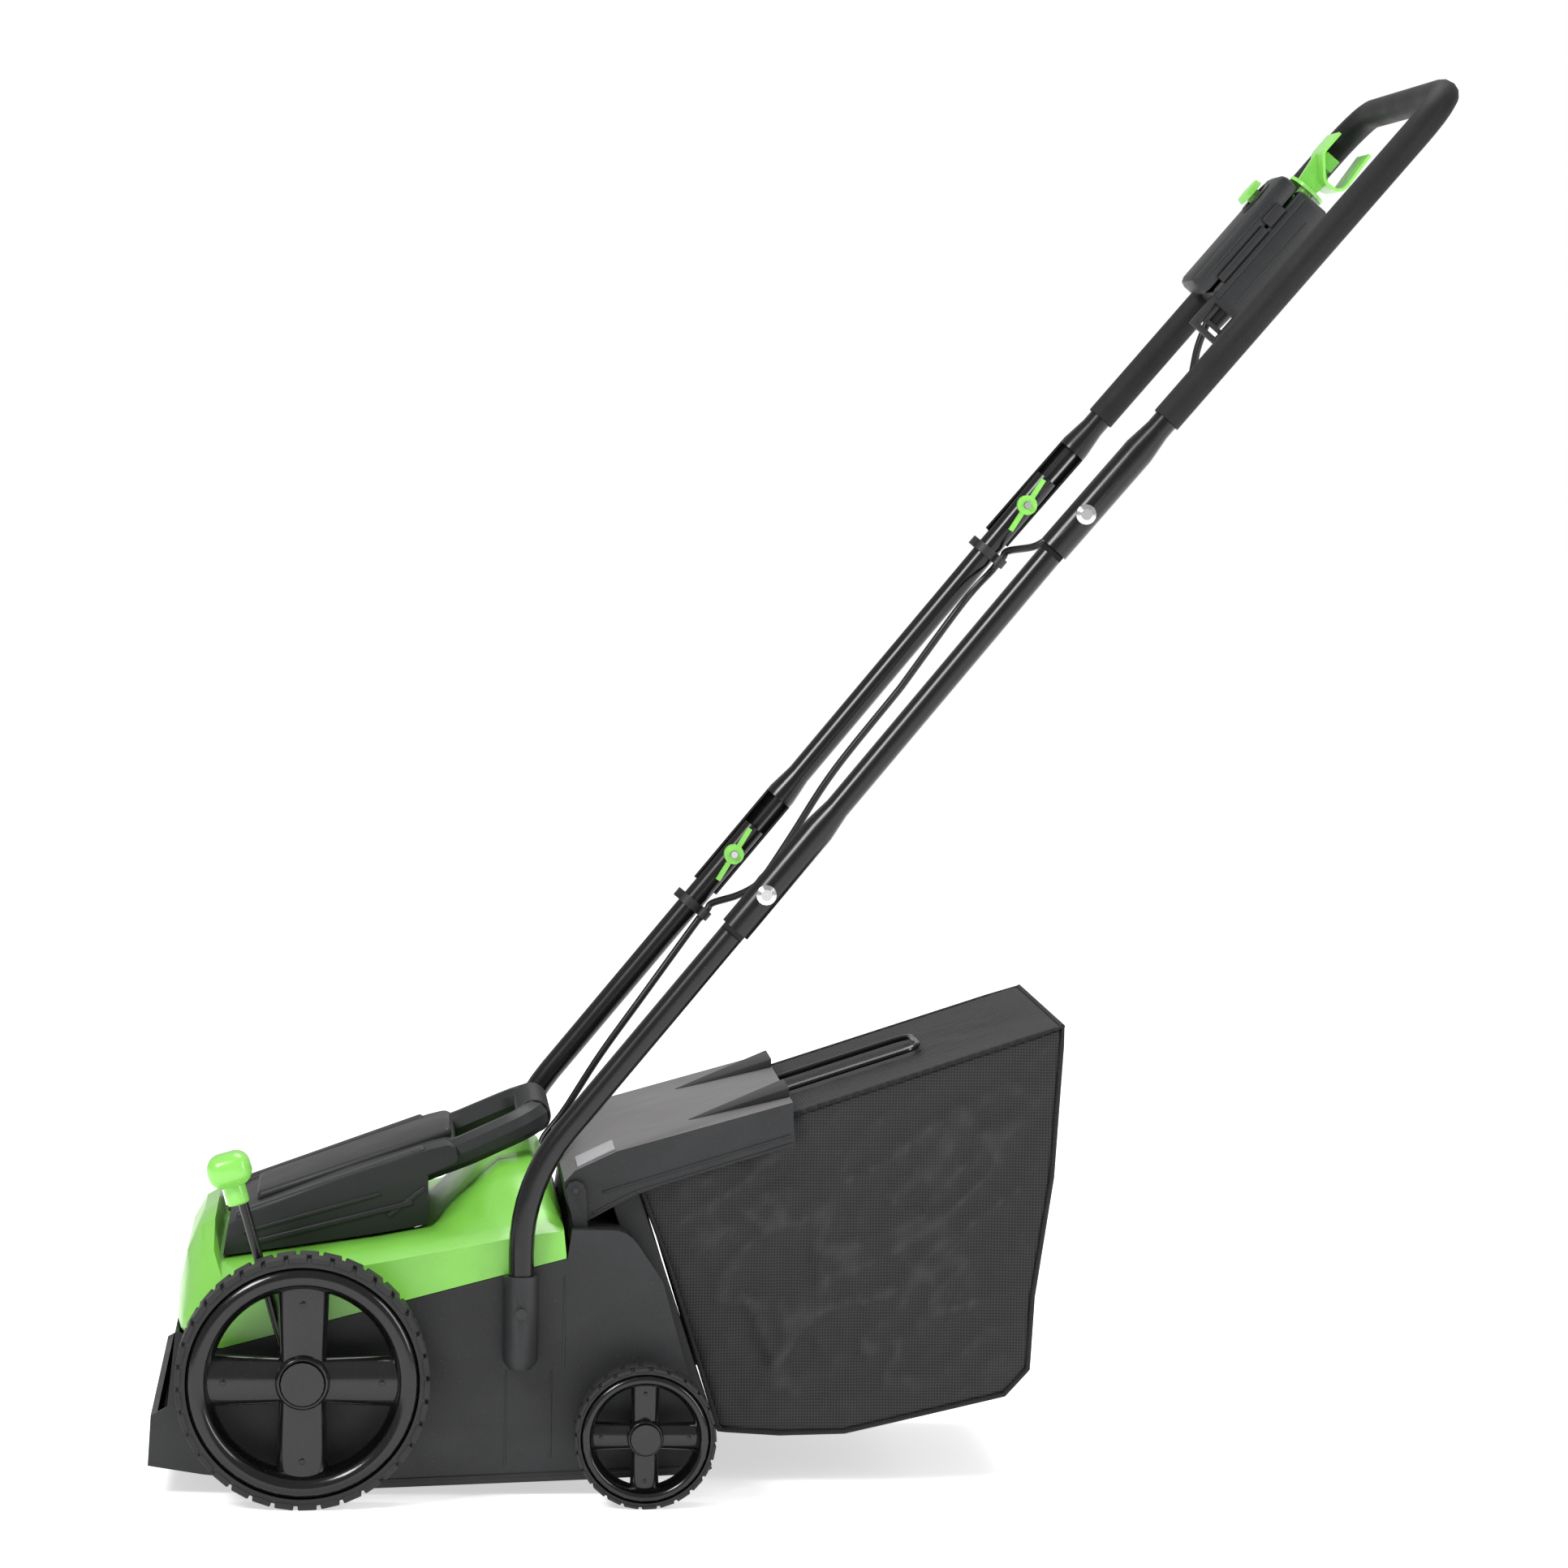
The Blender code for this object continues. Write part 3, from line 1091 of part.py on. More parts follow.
def centre_machine():
    """Puts the origin on the ground in the middle of the machine's box."""
    bpy.context.view_layer.update()
    graph = bpy.context.evaluated_depsgraph_get()
    xs = []
    for obj in parts.objects:
        if obj.type == "MESH":
            shape = obj.evaluated_get(graph)
            xs += [(shape.matrix_world @ Vector(corner)).x for corner in shape.bound_box]
    bodies["deck"].location.x -= (min(xs) + max(xs)) / 2
    bpy.context.view_layer.update()


def make_bodies():
    make_body("deck", (0, 0, 0))
    make_body("front_crank", (CRANK_PIVOT[0], 0, CRANK_PIVOT[1]), "deck")
    make_body("motor_rotor", (MOTOR[0], 0, MOTOR[1]), "deck")
    make_body("reel", (REEL[0], 0, REEL[1]), "deck")
    make_body("flap", (FLAP_PIN[0], 0, FLAP_PIN[1]), "deck")
    make_body("bag", (0.389, 0, 0.313), "deck")
    make_body("handle_middle", (LOWER_BOLT[0], 0, LOWER_BOLT[1]), "deck")
    make_body("handle_upper", (UPPER_BOLT[0], 0, UPPER_BOLT[1]), "handle_middle")
    y_mid = sum(box_span()) / 2
    make_body("lock_button", box_frame() @ Vector((BUTTON_AT, y_mid, BOX_DEPTH[1])), "handle_upper")
    make_body("switch_bar", box_frame() @ Vector((BOX_END, y_mid, 0)), "handle_upper")
    for label, side in SIDES.items():
        make_body("front_wheel_" + label, (0, side * FRONT_INNER, FRONT_RADIUS), "front_crank")
        make_body("rear_wheel_" + label, (REAR_CENTRE[0], side * FRONT_INNER, REAR_CENTRE[1]), "deck")
        for place, bolt, parent in (("lower", LOWER_BOLT, "handle_middle"), ("upper", UPPER_BOLT, "handle_upper")):
            make_body(f"{place}_wing_nut_{label}", (bolt[0], side * HANDLE_HALF, bolt[1]), parent)


def main():
    make_bodies()
    make_deck()
    make_top_cover()
    make_motor_cover()
    make_drive()
    make_wheels()
    make_crank()
    make_lower_tubes()
    make_middle_tubes()
    make_upper_handle()
    make_joint_hardware("lower", LOWER_BOLT, LOWER_ANGLE, "handle_middle")
    make_joint_hardware("upper", UPPER_BOLT, UPPER_ANGLE, "handle_upper")
    make_switch_box()
    make_lead()
    make_flap()
    make_bag()
    centre_machine()


clear_scene()
parts = new_collection("lawn_dethatcher")
cutters = new_collection("cutters")
materials = make_materials()
bodies = {}
main()
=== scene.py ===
"""Lawn dethatcher: the finished look of an electric lawn raker, built round its working frame."""

import json
import math

import bpy
from bpy.props import FloatProperty, FloatVectorProperty, IntProperty, PointerProperty
from mathutils import Matrix, Vector, noise

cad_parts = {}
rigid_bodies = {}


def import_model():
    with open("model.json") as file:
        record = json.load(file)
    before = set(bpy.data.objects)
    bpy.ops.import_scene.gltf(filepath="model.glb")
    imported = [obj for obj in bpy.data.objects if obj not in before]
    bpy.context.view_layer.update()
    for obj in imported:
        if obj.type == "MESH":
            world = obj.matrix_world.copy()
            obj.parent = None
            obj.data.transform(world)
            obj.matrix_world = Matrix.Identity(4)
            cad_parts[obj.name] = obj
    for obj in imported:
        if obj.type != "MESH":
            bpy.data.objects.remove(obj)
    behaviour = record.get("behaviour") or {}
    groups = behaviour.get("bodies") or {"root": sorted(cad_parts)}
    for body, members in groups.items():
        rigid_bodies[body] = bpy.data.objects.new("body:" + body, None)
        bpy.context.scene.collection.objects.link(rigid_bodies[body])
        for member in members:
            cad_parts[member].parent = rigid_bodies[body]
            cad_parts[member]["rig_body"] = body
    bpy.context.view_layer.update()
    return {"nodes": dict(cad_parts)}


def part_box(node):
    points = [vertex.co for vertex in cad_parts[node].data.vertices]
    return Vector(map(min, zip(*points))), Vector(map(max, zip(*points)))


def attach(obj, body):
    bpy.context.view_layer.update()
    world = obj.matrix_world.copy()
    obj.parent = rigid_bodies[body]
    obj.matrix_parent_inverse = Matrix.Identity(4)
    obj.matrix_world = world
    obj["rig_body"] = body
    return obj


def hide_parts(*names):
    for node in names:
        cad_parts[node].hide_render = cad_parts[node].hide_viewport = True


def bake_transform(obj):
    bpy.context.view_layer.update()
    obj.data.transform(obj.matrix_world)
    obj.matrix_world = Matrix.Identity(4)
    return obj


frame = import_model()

bl_info = {
    "name": "Lawn Dethatcher",
    "version": (1, 0, 0),
    "blender": (4, 5, 0),
    "location": "View3D > Sidebar > Dethatcher",
    "description": "Finishes the dethatcher's shells, wheels, handle, lead and bag",
    "category": "Object",
}


def middle(node):
    """The middle of a node's box."""
    low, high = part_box(node)
    return (low + high) / 2


SHIFT = middle("front_hubcap_left").x
MATERIALS = {}


# ---------------------------------------------------------------- settings


def colour_setting(name, description, default):
    return FloatVectorProperty(
        name=name, description=description, default=default, size=3, min=0, max=1, subtype="COLOR"
    )


def length_setting(name, description, default, least, most):
    return FloatProperty(
        name=name, description=description, default=default, min=least, max=most, unit="LENGTH"
    )


class DethatcherColours(bpy.types.PropertyGroup):
    """The colours of the mouldings, the handle and the bag."""

    shell: colour_setting("Shell green", "Colour of the green mouldings", (0.160, 0.455, 0.054))
    knob: colour_setting(
        "Control green", "Colour of the knob, wing nuts and switch lever", (0.205, 0.575, 0.085)
    )
    housing: colour_setting("Housing", "Colour of the textured black mouldings", (0.0110, 0.0115, 0.0125))
    gloss: colour_setting(
        "Gloss black", "Colour of the wheel mouldings and painted tubes", (0.0025, 0.0025, 0.0028)
    )
    flap: colour_setting("Flap", "Colour of the rear flap's satin top", (0.105, 0.101, 0.101))
    cloth: colour_setting("Bag cloth", "Colour of the bag's threads", (0.0065, 0.0065, 0.0075))
    floor: colour_setting("Floor", "Colour of the studio floor", (0.93, 0.93, 0.93))


class DethatcherSizes(bpy.types.PropertyGroup):
    """The sizes of the details that the finished pieces add to the frame."""

    spoke_width: length_setting(
        "Front spoke width", "Width of a front wheel's spoke at the rim", 0.036, 0.02, 0.05
    )
    rear_spoke_width: length_setting(
        "Rear spoke width", "Width of a rear wheel's spoke at the rim", 0.020, 0.01, 0.03
    )
    lead_radius: length_setting("Lead radius", "Radius of the motor lead", 0.0032, 0.002, 0.005)
    cloth_thickness: length_setting(
        "Cloth thickness", "Thickness of the bag's cloth", 0.0012, 0.0005, 0.003
    )
    crumple: length_setting("Crumple", "Depth of the creases in the bag's sides", 0.0125, 0, 0.015)
    cloth_cell: length_setting("Cloth cell", "Size of a face of the bag's cloth", 0.0045, 0.003, 0.01)
    flap_ribs: IntProperty(
        name="Flap ridges", description="Raised ridges on each side of the rear flap",
        default=1, min=1, max=3,
    )
    grip_ribs: IntProperty(
        name="Grip ribs", description="Ribs on the carry handle's grip", default=26, min=4, max=40,
    )


def colours():
    return bpy.context.scene.dethatcher_colours


def sizes():
    return bpy.context.scene.dethatcher_sizes


# ---------------------------------------------------------------- materials


def new_group(name, inputs, outputs):
    """An empty shader group with named sockets, and its two end nodes."""
    group = bpy.data.node_groups.new(name, "ShaderNodeTree")
    for label, kind in inputs:
        group.interface.new_socket(label, in_out="INPUT", socket_type=kind)
    for label, kind in outputs:
        group.interface.new_socket(label, in_out="OUTPUT", socket_type=kind)
    entry = group.nodes.new("NodeGroupInput")
    leave = group.nodes.new("NodeGroupOutput")
    return group, entry, leave


def math_node(tree, operation, first, second=None):
    node = tree.nodes.new("ShaderNodeMath")
    node.operation = operation
    for socket, value in zip(node.inputs, (first, second)):
        if value is None:
            continue
        if isinstance(value, (int, float)):
            socket.default_value = value
        else:
            tree.links.new(value, socket)
    return node.outputs[0]


def noise_node(tree, vector, scale, detail=3, rough=0.5):
    node = tree.nodes.new("ShaderNodeTexNoise")
    tree.links.new(vector, node.inputs["Vector"])
    if isinstance(scale, (int, float)):
        node.inputs["Scale"].default_value = scale
    else:
        tree.links.new(scale, node.inputs["Scale"])
    node.inputs["Detail"].default_value = detail
    node.inputs["Roughness"].default_value = rough
    return node.outputs["Fac"]


def spread(tree, value, low, high, start=0.3, stop=0.7):
    """The value's range from start to stop, spread from low to high."""
    node = tree.nodes.new("ShaderNodeMapRange")
    tree.links.new(value, node.inputs["Value"])
    for label, amount in (("From Min", start), ("From Max", stop), ("To Min", low), ("To Max", high)):
        node.inputs[label].default_value = amount
    return node.outputs["Result"]


def grain_group():
    """Fine moulded grain for the bump, with a slow mottle and dust for the colour and gloss."""
    group, entry, leave = new_group(
        "Moulded grain",
        [("Vector", "NodeSocketVector"), ("Grain", "NodeSocketFloat")],
        [("Height", "NodeSocketFloat"), ("Mottle", "NodeSocketFloat"), ("Specks", "NodeSocketFloat")],
    )
    vector, grain = entry.outputs["Vector"], entry.outputs["Grain"]
    cells = group.nodes.new("ShaderNodeTexVoronoi")
    cells.feature = "SMOOTH_F1"
    group.links.new(vector, cells.inputs["Vector"])
    group.links.new(grain, cells.inputs["Scale"])
    rough = noise_node(group, vector, grain, 2, 0.6)
    height = math_node(group, "ADD", cells.outputs["Distance"], rough)
    group.links.new(height, leave.inputs["Height"])
    group.links.new(noise_node(group, vector, 14, 4, 0.55), leave.inputs["Mottle"])
    specks = spread(group, noise_node(group, vector, 900, 1, 0.4), 0, 1, 0.68, 0.78)
    group.links.new(specks, leave.inputs["Specks"])
    return group


def wear_group():
    """Pale rubbing along the outer edges."""
    group, entry, leave = new_group(
        "Rubbed edges", [("Vector", "NodeSocketVector")], [("Mask", "NodeSocketFloat")]
    )
    geometry = group.nodes.new("ShaderNodeNewGeometry")
    edge = spread(group, geometry.outputs["Pointiness"], 0, 1, 0.52, 0.60)
    patches = noise_node(group, entry.outputs["Vector"], 45, 3, 0.6)
    group.links.new(math_node(group, "MULTIPLY", edge, patches), leave.inputs["Mask"])
    return group


def weave_group():
    """Crossing threads: high on a thread, low in the gap between four."""
    group, entry, leave = new_group(
        "Weave",
        [("Vector", "NodeSocketVector"), ("Along", "NodeSocketFloat"), ("Across", "NodeSocketFloat")],
        [("Height", "NodeSocketFloat"), ("Gap", "NodeSocketFloat")],
    )
    split = group.nodes.new("ShaderNodeSeparateXYZ")
    group.links.new(entry.outputs["Vector"], split.inputs[0])
    waves = []
    for axis, label in (("X", "Along"), ("Y", "Across")):
        turns = math_node(group, "MULTIPLY", split.outputs[axis], entry.outputs[label])
        wave = math_node(group, "SINE", math_node(group, "MULTIPLY", turns, 2 * math.pi))
        waves.append(math_node(group, "ADD", math_node(group, "MULTIPLY", wave, 0.5), 0.5))
    gap = math_node(group, "MULTIPLY", waves[0], waves[1])
    group.links.new(gap, leave.inputs["Gap"])
    group.links.new(math_node(group, "SUBTRACT", 1.0, gap), leave.inputs["Height"])
    return group


def groups():
    made = bpy.data.node_groups
    return {
        "grain": made.get("Moulded grain") or grain_group(),
        "wear": made.get("Rubbed edges") or wear_group(),
        "weave": made.get("Weave") or weave_group(),
    }


def bright(colour, factor, lift=0.0):
    return tuple(min(1.0, c * factor + lift) for c in colour) + (1.0,)


def mix_colours(tree, mask, first, second):
    node = tree.nodes.new("ShaderNodeMix")
    node.data_type = "RGBA"
    tree.links.new(mask, node.inputs[0])
    for socket, value in ((node.inputs[6], first), (node.inputs[7], second)):
        if isinstance(value, tuple):
            socket.default_value = value
        else:
            tree.links.new(value, socket)
    return node.outputs[2]


def place_group(tree, group, vector, **values):
    node = tree.nodes.new("ShaderNodeGroup")
    node.node_tree = group
    tree.links.new(vector, node.inputs["Vector"])
    for label, value in values.items():
        node.inputs[label].default_value = value
    return node


def start_material(name, roughness, metallic=0.0, coat=0.0, specular=0.5):
    material = bpy.data.materials.new(name)
    material.use_nodes = True
    tree = material.node_tree
    shader = tree.nodes["Principled BSDF"]
    shader.inputs["Roughness"].default_value = roughness
    shader.inputs["Metallic"].default_value = metallic
    shader.inputs["Coat Weight"].default_value = coat
    shader.inputs["Coat Roughness"].default_value = 0.12
    shader.inputs["Specular IOR Level"].default_value = specular
    vector = tree.nodes.new("ShaderNodeTexCoord")
    return material, tree, shader, vector


def bump(tree, shader, height, strength, distance):
    node = tree.nodes.new("ShaderNodeBump")
    node.inputs["Strength"].default_value = strength
    node.inputs["Distance"].default_value = distance
    tree.links.new(height, node.inputs["Height"])
    tree.links.new(node.outputs["Normal"], shader.inputs["Normal"])


def moulded(
    name, colour, roughness, grain, depth, metallic=0.0, coat=0.0, wear=1.6, lift=0.006, specular=0.5
):
    """A moulded, painted or plated finish: its grain, mottled colour, specks of dust and rubbed edges."""
    material, tree, shader, place = start_material(name, roughness, metallic, coat, specular)
    vector = place.outputs["Object"]
    texture = place_group(tree, groups()["grain"], vector, Grain=grain)
    edges = place_group(tree, groups()["wear"], vector)
    base = mix_colours(tree, texture.outputs["Mottle"], bright(colour, 0.90), bright(colour, 1.10))
    worn = mix_colours(tree, edges.outputs["Mask"], base, bright(colour, wear, lift))
    dusty = mix_colours(tree, texture.outputs["Specks"], worn, bright(colour, 1.25, 0.02))
    tree.links.new(dusty, shader.inputs["Base Color"])
    gloss = spread(tree, texture.outputs["Mottle"], roughness * 0.86, min(1.0, roughness * 1.16))
    tree.links.new(gloss, shader.inputs["Roughness"])
    bump(tree, shader, texture.outputs["Height"], 0.35, depth)
    return material


def cloth(name, colour, painted_gap_light, along, across, depth, roughness=0.85):
    """Woven cloth on the piece's own flat pattern coordinates, with painted light in the gaps of the weave
    and painted highlights on the crests of its creases.
    """
    material, tree, shader, place = start_material(name, roughness, specular=0.3)
    threads = place_group(tree, groups()["weave"], place.outputs["UV"], Along=along, Across=across)
    texture = place_group(tree, groups()["grain"], place.outputs["Object"], Grain=600.0)
    base = mix_colours(tree, texture.outputs["Mottle"], bright(colour, 0.8), bright(colour, 1.25))
    # Painted light: the gaps between the threads take the paler colour, as if light showed through the open
    # mesh.
    weave_with_gap_light = mix_colours(tree, threads.outputs["Gap"], base, painted_gap_light + (1.0,))
    # Painted highlight: the fold attribute lightens the cloth along the crests of its creases.
    painted_crest_highlights = tree.nodes.new("ShaderNodeAttribute")
    painted_crest_highlights.attribute_name = "fold"
    with_crest_highlights = mix_colours(tree, painted_crest_highlights.outputs["Fac"], weave_with_gap_light, bright(painted_gap_light, 1.25))
    tree.links.new(with_crest_highlights, shader.inputs["Base Color"])
    gloss = spread(tree, texture.outputs["Mottle"], roughness * 0.9, roughness)
    tree.links.new(gloss, shader.inputs["Roughness"])
    bump(tree, shader, threads.outputs["Height"], 0.6, depth)
    return material


def make_materials():
    c = colours()
    soft_black, foam_black = (0.0085, 0.0085, 0.009), (0.0060, 0.0060, 0.0065)
    bright_metal, dull_metal = (0.62, 0.62, 0.64), (0.42, 0.42, 0.43)
    # Painted light: paler colours for the gaps in the weave, standing in for light seen through the open
    # mesh.
    net_gap_light, ribbed_gap_light = (0.034, 0.034, 0.036), (0.022, 0.022, 0.025)
    MATERIALS.update(
        green_plastic=moulded("green_moulding", c.shell, 0.30, 1500.0, 0.00004, coat=0.15, wear=1.2),
        control_green=moulded("control_green", c.knob, 0.27, 1500.0, 0.00004, coat=0.2, wear=1.2),
        black_plastic=moulded("textured_black", c.housing, 0.46, 1300.0, 0.00014, specular=0.36),
        gloss_plastic=moulded("gloss_black", c.gloss, 0.17, 700.0, 0.00002, wear=1.8, specular=0.42),
        tread=moulded("tread_rubber", soft_black, 0.58, 900.0, 0.00012, wear=1.9, specular=0.32),
        painted_tube=moulded(
            "painted_tube", c.gloss, 0.25, 260.0, 0.000003, wear=1.1, lift=0.0, specular=0.40
        ),
        foam=moulded("grip_foam", foam_black, 0.62, 650.0, 0.00022, wear=1.2, specular=0.25),
        plated_steel=moulded("plated_steel", bright_metal, 0.20, 900.0, 0.00001, metallic=1.0, wear=1.1),
        bare_steel=moulded("bare_steel", dull_metal, 0.33, 1200.0, 0.00003, metallic=1.0, wear=1.2),
        belt_rubber=moulded("belt_rubber", (0.018, 0.018, 0.018), 0.7, 1100.0, 0.00008),
        cable=moulded("lead_sheath", (0.005, 0.005, 0.0055), 0.35, 900.0, 0.00004, specular=0.35),
        flap_satin=moulded("flap_satin", c.flap, 0.42, 1400.0, 0.00008, wear=1.3),
        flap_silver=moulded("flap_silver", (0.30, 0.30, 0.31), 0.40, 1400.0, 0.00005, wear=1.2),
        bag_fabric=cloth("bag_net", c.cloth, net_gap_light, 430.0, 430.0, 0.0005, 0.6),
        bag_ribbed=cloth("bag_ribbed_top", c.cloth, ribbed_gap_light, 330.0, 1100.0, 0.0005, 0.6),
    )


def finish_with(piece, name):
    """Gives the piece one finish and the slot that it belongs to."""
    piece.data.materials.clear()
    piece.data.materials.append(MATERIALS[name])


# ---------------------------------------------------------------- the studio

CAMERA_PLACE = (0.04836, -4.52345, 0.86556)
CAMERA_RIGHT = (0.99715, -0.07396, 0.01480)
CAMERA_UP = (-0.00969, 0.06893, 0.99757)
LENS = 126.6
FLOOR_GLOW = 0.56
WORLD_LIGHT = 0.5


def linked(name, data):
    """A new object in the scene."""
    piece = bpy.data.objects.new(name, data)
    bpy.context.scene.collection.objects.link(piece)
    return piece


def area_light(name, place, target, size, power):
    light = bpy.data.lights.new(name, "AREA")
    light.shape = "RECTANGLE"
    light.size, light.size_y = size
    light.energy = power
    lamp = linked(name, light)
    lamp.location = place
    lamp.rotation_euler = (Vector(target) - Vector(place)).to_track_quat("-Z", "Y").to_euler()


class DETHATCHER_OT_stage(bpy.types.Operator):
    """Sets the floor, the soft studio light and the camera"""

    bl_idname = "dethatcher.stage"
    bl_label = "Studio"

    def execute(self, context):
        bpy.ops.object.select_all(action="DESELECT")
        bpy.ops.mesh.primitive_plane_add(size=60, location=(0, 0, 0))
        floor = context.active_object
        floor.name = "studio_floor"
        material, tree, shader, place = start_material("studio_floor", 0.9, specular=0.1)
        tone = noise_node(tree, place.outputs["Object"], 0.4, 2)
        pale = tuple(colours().floor)
        tree.links.new(
            mix_colours(tree, tone, bright(pale, 0.995), bright(pale, 1.0)), shader.inputs["Base Color"]
        )
        shader.inputs["Emission Color"].default_value = (1, 1, 1, 1)
        shader.inputs["Emission Strength"].default_value = FLOOR_GLOW
        floor.data.materials.append(material)

        world = bpy.data.worlds.new("studio")
        context.scene.world = world
        world.use_nodes = True
        sky = world.node_tree.nodes["Background"]
        sky.inputs["Color"].default_value = (1, 1, 1, 1)
        rays = world.node_tree.nodes.new("ShaderNodeLightPath")
        seen = math_node(world.node_tree, "MULTIPLY", rays.outputs["Is Camera Ray"], WORLD_LIGHT)
        strength = math_node(world.node_tree, "ADD", seen, WORLD_LIGHT)
        world.node_tree.links.new(strength, sky.inputs["Strength"])
        area_light("key", (-2.4, -2.6, 3.2), (0, 0, 0.4), (1.2, 1.2), 120)
        area_light("fill", (2.8, -2.2, 1.6), (0, 0, 0.4), (0.7, 2.2), 45)
        area_light("top", (0.2, 0.8, 3.6), (0, 0, 0.3), (2.0, 2.0), 80)

        data = bpy.data.cameras.new("camera")
        data.lens = LENS
        data.sensor_width = 36
        data.clip_end = 200
        camera = linked("camera", data)
        right, up = Vector(CAMERA_RIGHT).normalized(), Vector(CAMERA_UP)
        back = right.cross(up).normalized()
        up = back.cross(right)
        place = Vector(CAMERA_PLACE) + Vector((SHIFT, 0, 0))
        camera.matrix_world = Matrix(
            (
                (right.x, up.x, back.x, place.x),
                (right.y, up.y, back.y, place.y),
                (right.z, up.z, back.z, place.z),
                (0, 0, 0, 1),
            )
        )
        context.scene.camera = camera
        context.scene.view_settings.view_transform = "Standard"
        return {"FINISHED"}


class DETHATCHER_OT_finishes(bpy.types.Operator):
    """Gives every CAD node its finish"""

    bl_idname = "dethatcher.finishes"
    bl_label = "Finishes"

    def execute(self, context):
        make_materials()
        for node in frame["nodes"].values():
            for holder in node.material_slots:
                slot = holder.material.name.split(".")[0]
                holder.material = MATERIALS[slot]
        return {"FINISHED"}


# ---------------------------------------------------------------- modelling


def activate(piece):
    bpy.ops.object.select_all(action="DESELECT")
    piece.select_set(True)
    bpy.context.view_layer.objects.active = piece


def settle(piece):
    """Puts the piece's place, turn and size into its mesh."""
    activate(piece)
    bpy.ops.object.transform_apply(location=True, rotation=True, scale=True)
    return piece


def started(operator, name, **values):
    """A primitive added at its place, as a piece of its own."""
    bpy.ops.object.select_all(action="DESELECT")
    operator(**values)
    piece = bpy.context.active_object
    piece.name = piece.data.name = name
    return piece


def joined(pieces, name):
    """The pieces as one mesh."""
    activate(pieces[0])
    for other in pieces[1:]:
        other.select_set(True)
    bpy.ops.object.join()
    piece = bpy.context.active_object
    piece.name = piece.data.name = name
    return piece


def rounded(piece, width, segments=3, angle=40):
    """Bevels the edges that turn by more than the angle."""
    bevel = piece.modifiers.new("rounding", "BEVEL")
    bevel.width = width
    bevel.segments = segments
    bevel.limit_method = "ANGLE"
    bevel.angle_limit = math.radians(angle)
    activate(piece)
    bpy.ops.object.modifier_apply(modifier="rounding")
    return piece


def smoothed(piece, angle=35):
    activate(piece)
    bpy.ops.object.shade_smooth_by_angle(angle=math.radians(angle))
    return piece


def walled(piece, thickness):
    """Gives an open skin its wall, on the inner side."""
    wall = piece.modifiers.new("wall", "SOLIDIFY")
    wall.thickness = thickness
    wall.offset = -1
    activate(piece)
    bpy.ops.object.modifier_apply(modifier="wall")
    return piece


def outward(piece):
    """Merges the piece's doubles and points its faces outwards."""
    activate(piece)
    bpy.ops.object.mode_set(mode="EDIT")
    bpy.ops.mesh.select_all(action="SELECT")
    bpy.ops.mesh.remove_doubles(threshold=0.00001)
    bpy.ops.mesh.normals_make_consistent(inside=False)
    bpy.ops.object.mode_set(mode="OBJECT")
    return piece


def stands_for(piece, body, finish, *nodes):
    """Finishes the piece and puts it on its body, in the place of the nodes."""
    finish_with(piece, finish)
    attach(piece, body)
    if nodes:
        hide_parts(*nodes)


def fitted(pieces, name, angle, body, finish, *nodes):
    """Joins and smooths the pieces, then finishes them as one piece of the body."""
    stands_for(smoothed(joined(pieces, name), angle), body, finish, *nodes)


def row(x, y, z):
    """A point measured from below the front axle, as a point of the shared frame."""
    return Vector((x + SHIFT, y, z))


def bar(name, start, end, radius, sides=24):
    """A round bar from start to end."""
    start, end = Vector(start), Vector(end)
    span = end - start
    turn = span.to_track_quat("Z", "Y").to_euler()
    piece = started(
        bpy.ops.mesh.primitive_cylinder_add, name, vertices=sides, radius=radius, depth=span.length,
        location=(start + end) / 2, rotation=turn,
    )
    return settle(piece)


def slab(name, centre, size, turn=0.0, rounding=0.001, segments=2):
    """A block with rounded edges, turned about Y."""
    piece = started(bpy.ops.mesh.primitive_cube_add, name, size=1, location=centre, rotation=(0, turn, 0))
    piece.scale = size
    settle(piece)
    return rounded(piece, rounding, segments)


def ring(name, centre, turn, major, minor, around, across):
    """A ring of round section, turned to its place."""
    return settle(started(
        bpy.ops.mesh.primitive_torus_add, name, major_segments=around, minor_segments=across,
        major_radius=major, minor_radius=minor, location=centre, rotation=turn,
    ))


def curved(points, steps=6):
    """A smooth line through the points."""
    line = [Vector(p) for p in points]
    line = [2 * line[0] - line[1]] + line + [2 * line[-1] - line[-2]]
    out = []
    for a, b, c, d in zip(line, line[1:], line[2:], line[3:]):
        for k in range(steps):
            t = k / steps
            out.append(
                0.5 * (2 * b + (c - a) * t + (2 * a - 5 * b + 4 * c - d) * t * t
                       + (3 * b - a - 3 * c + d) * t * t * t)
            )
    return out + [line[-2]]


def swept(name, points, radius, cyclic=False, sides=4):
    """A round tube along the points, as a mesh."""
    data = bpy.data.curves.new(name, "CURVE")
    data.dimensions = "3D"
    data.bevel_depth = radius
    data.bevel_resolution = sides
    data.use_fill_caps = not cyclic
    spline = data.splines.new("POLY")
    spline.points.add(len(points) - 1)
    for point, place in zip(spline.points, points):
        point.co = (*place, 1)
    spline.use_cyclic_u = cyclic
    activate(linked(name, data))
    bpy.ops.object.convert(target="MESH")
    piece = bpy.context.active_object
    piece.name = piece.data.name = name
    return smoothed(outward(piece), 60)


# ---------------------------------------------------------------- smooth copies of the frame's shapes

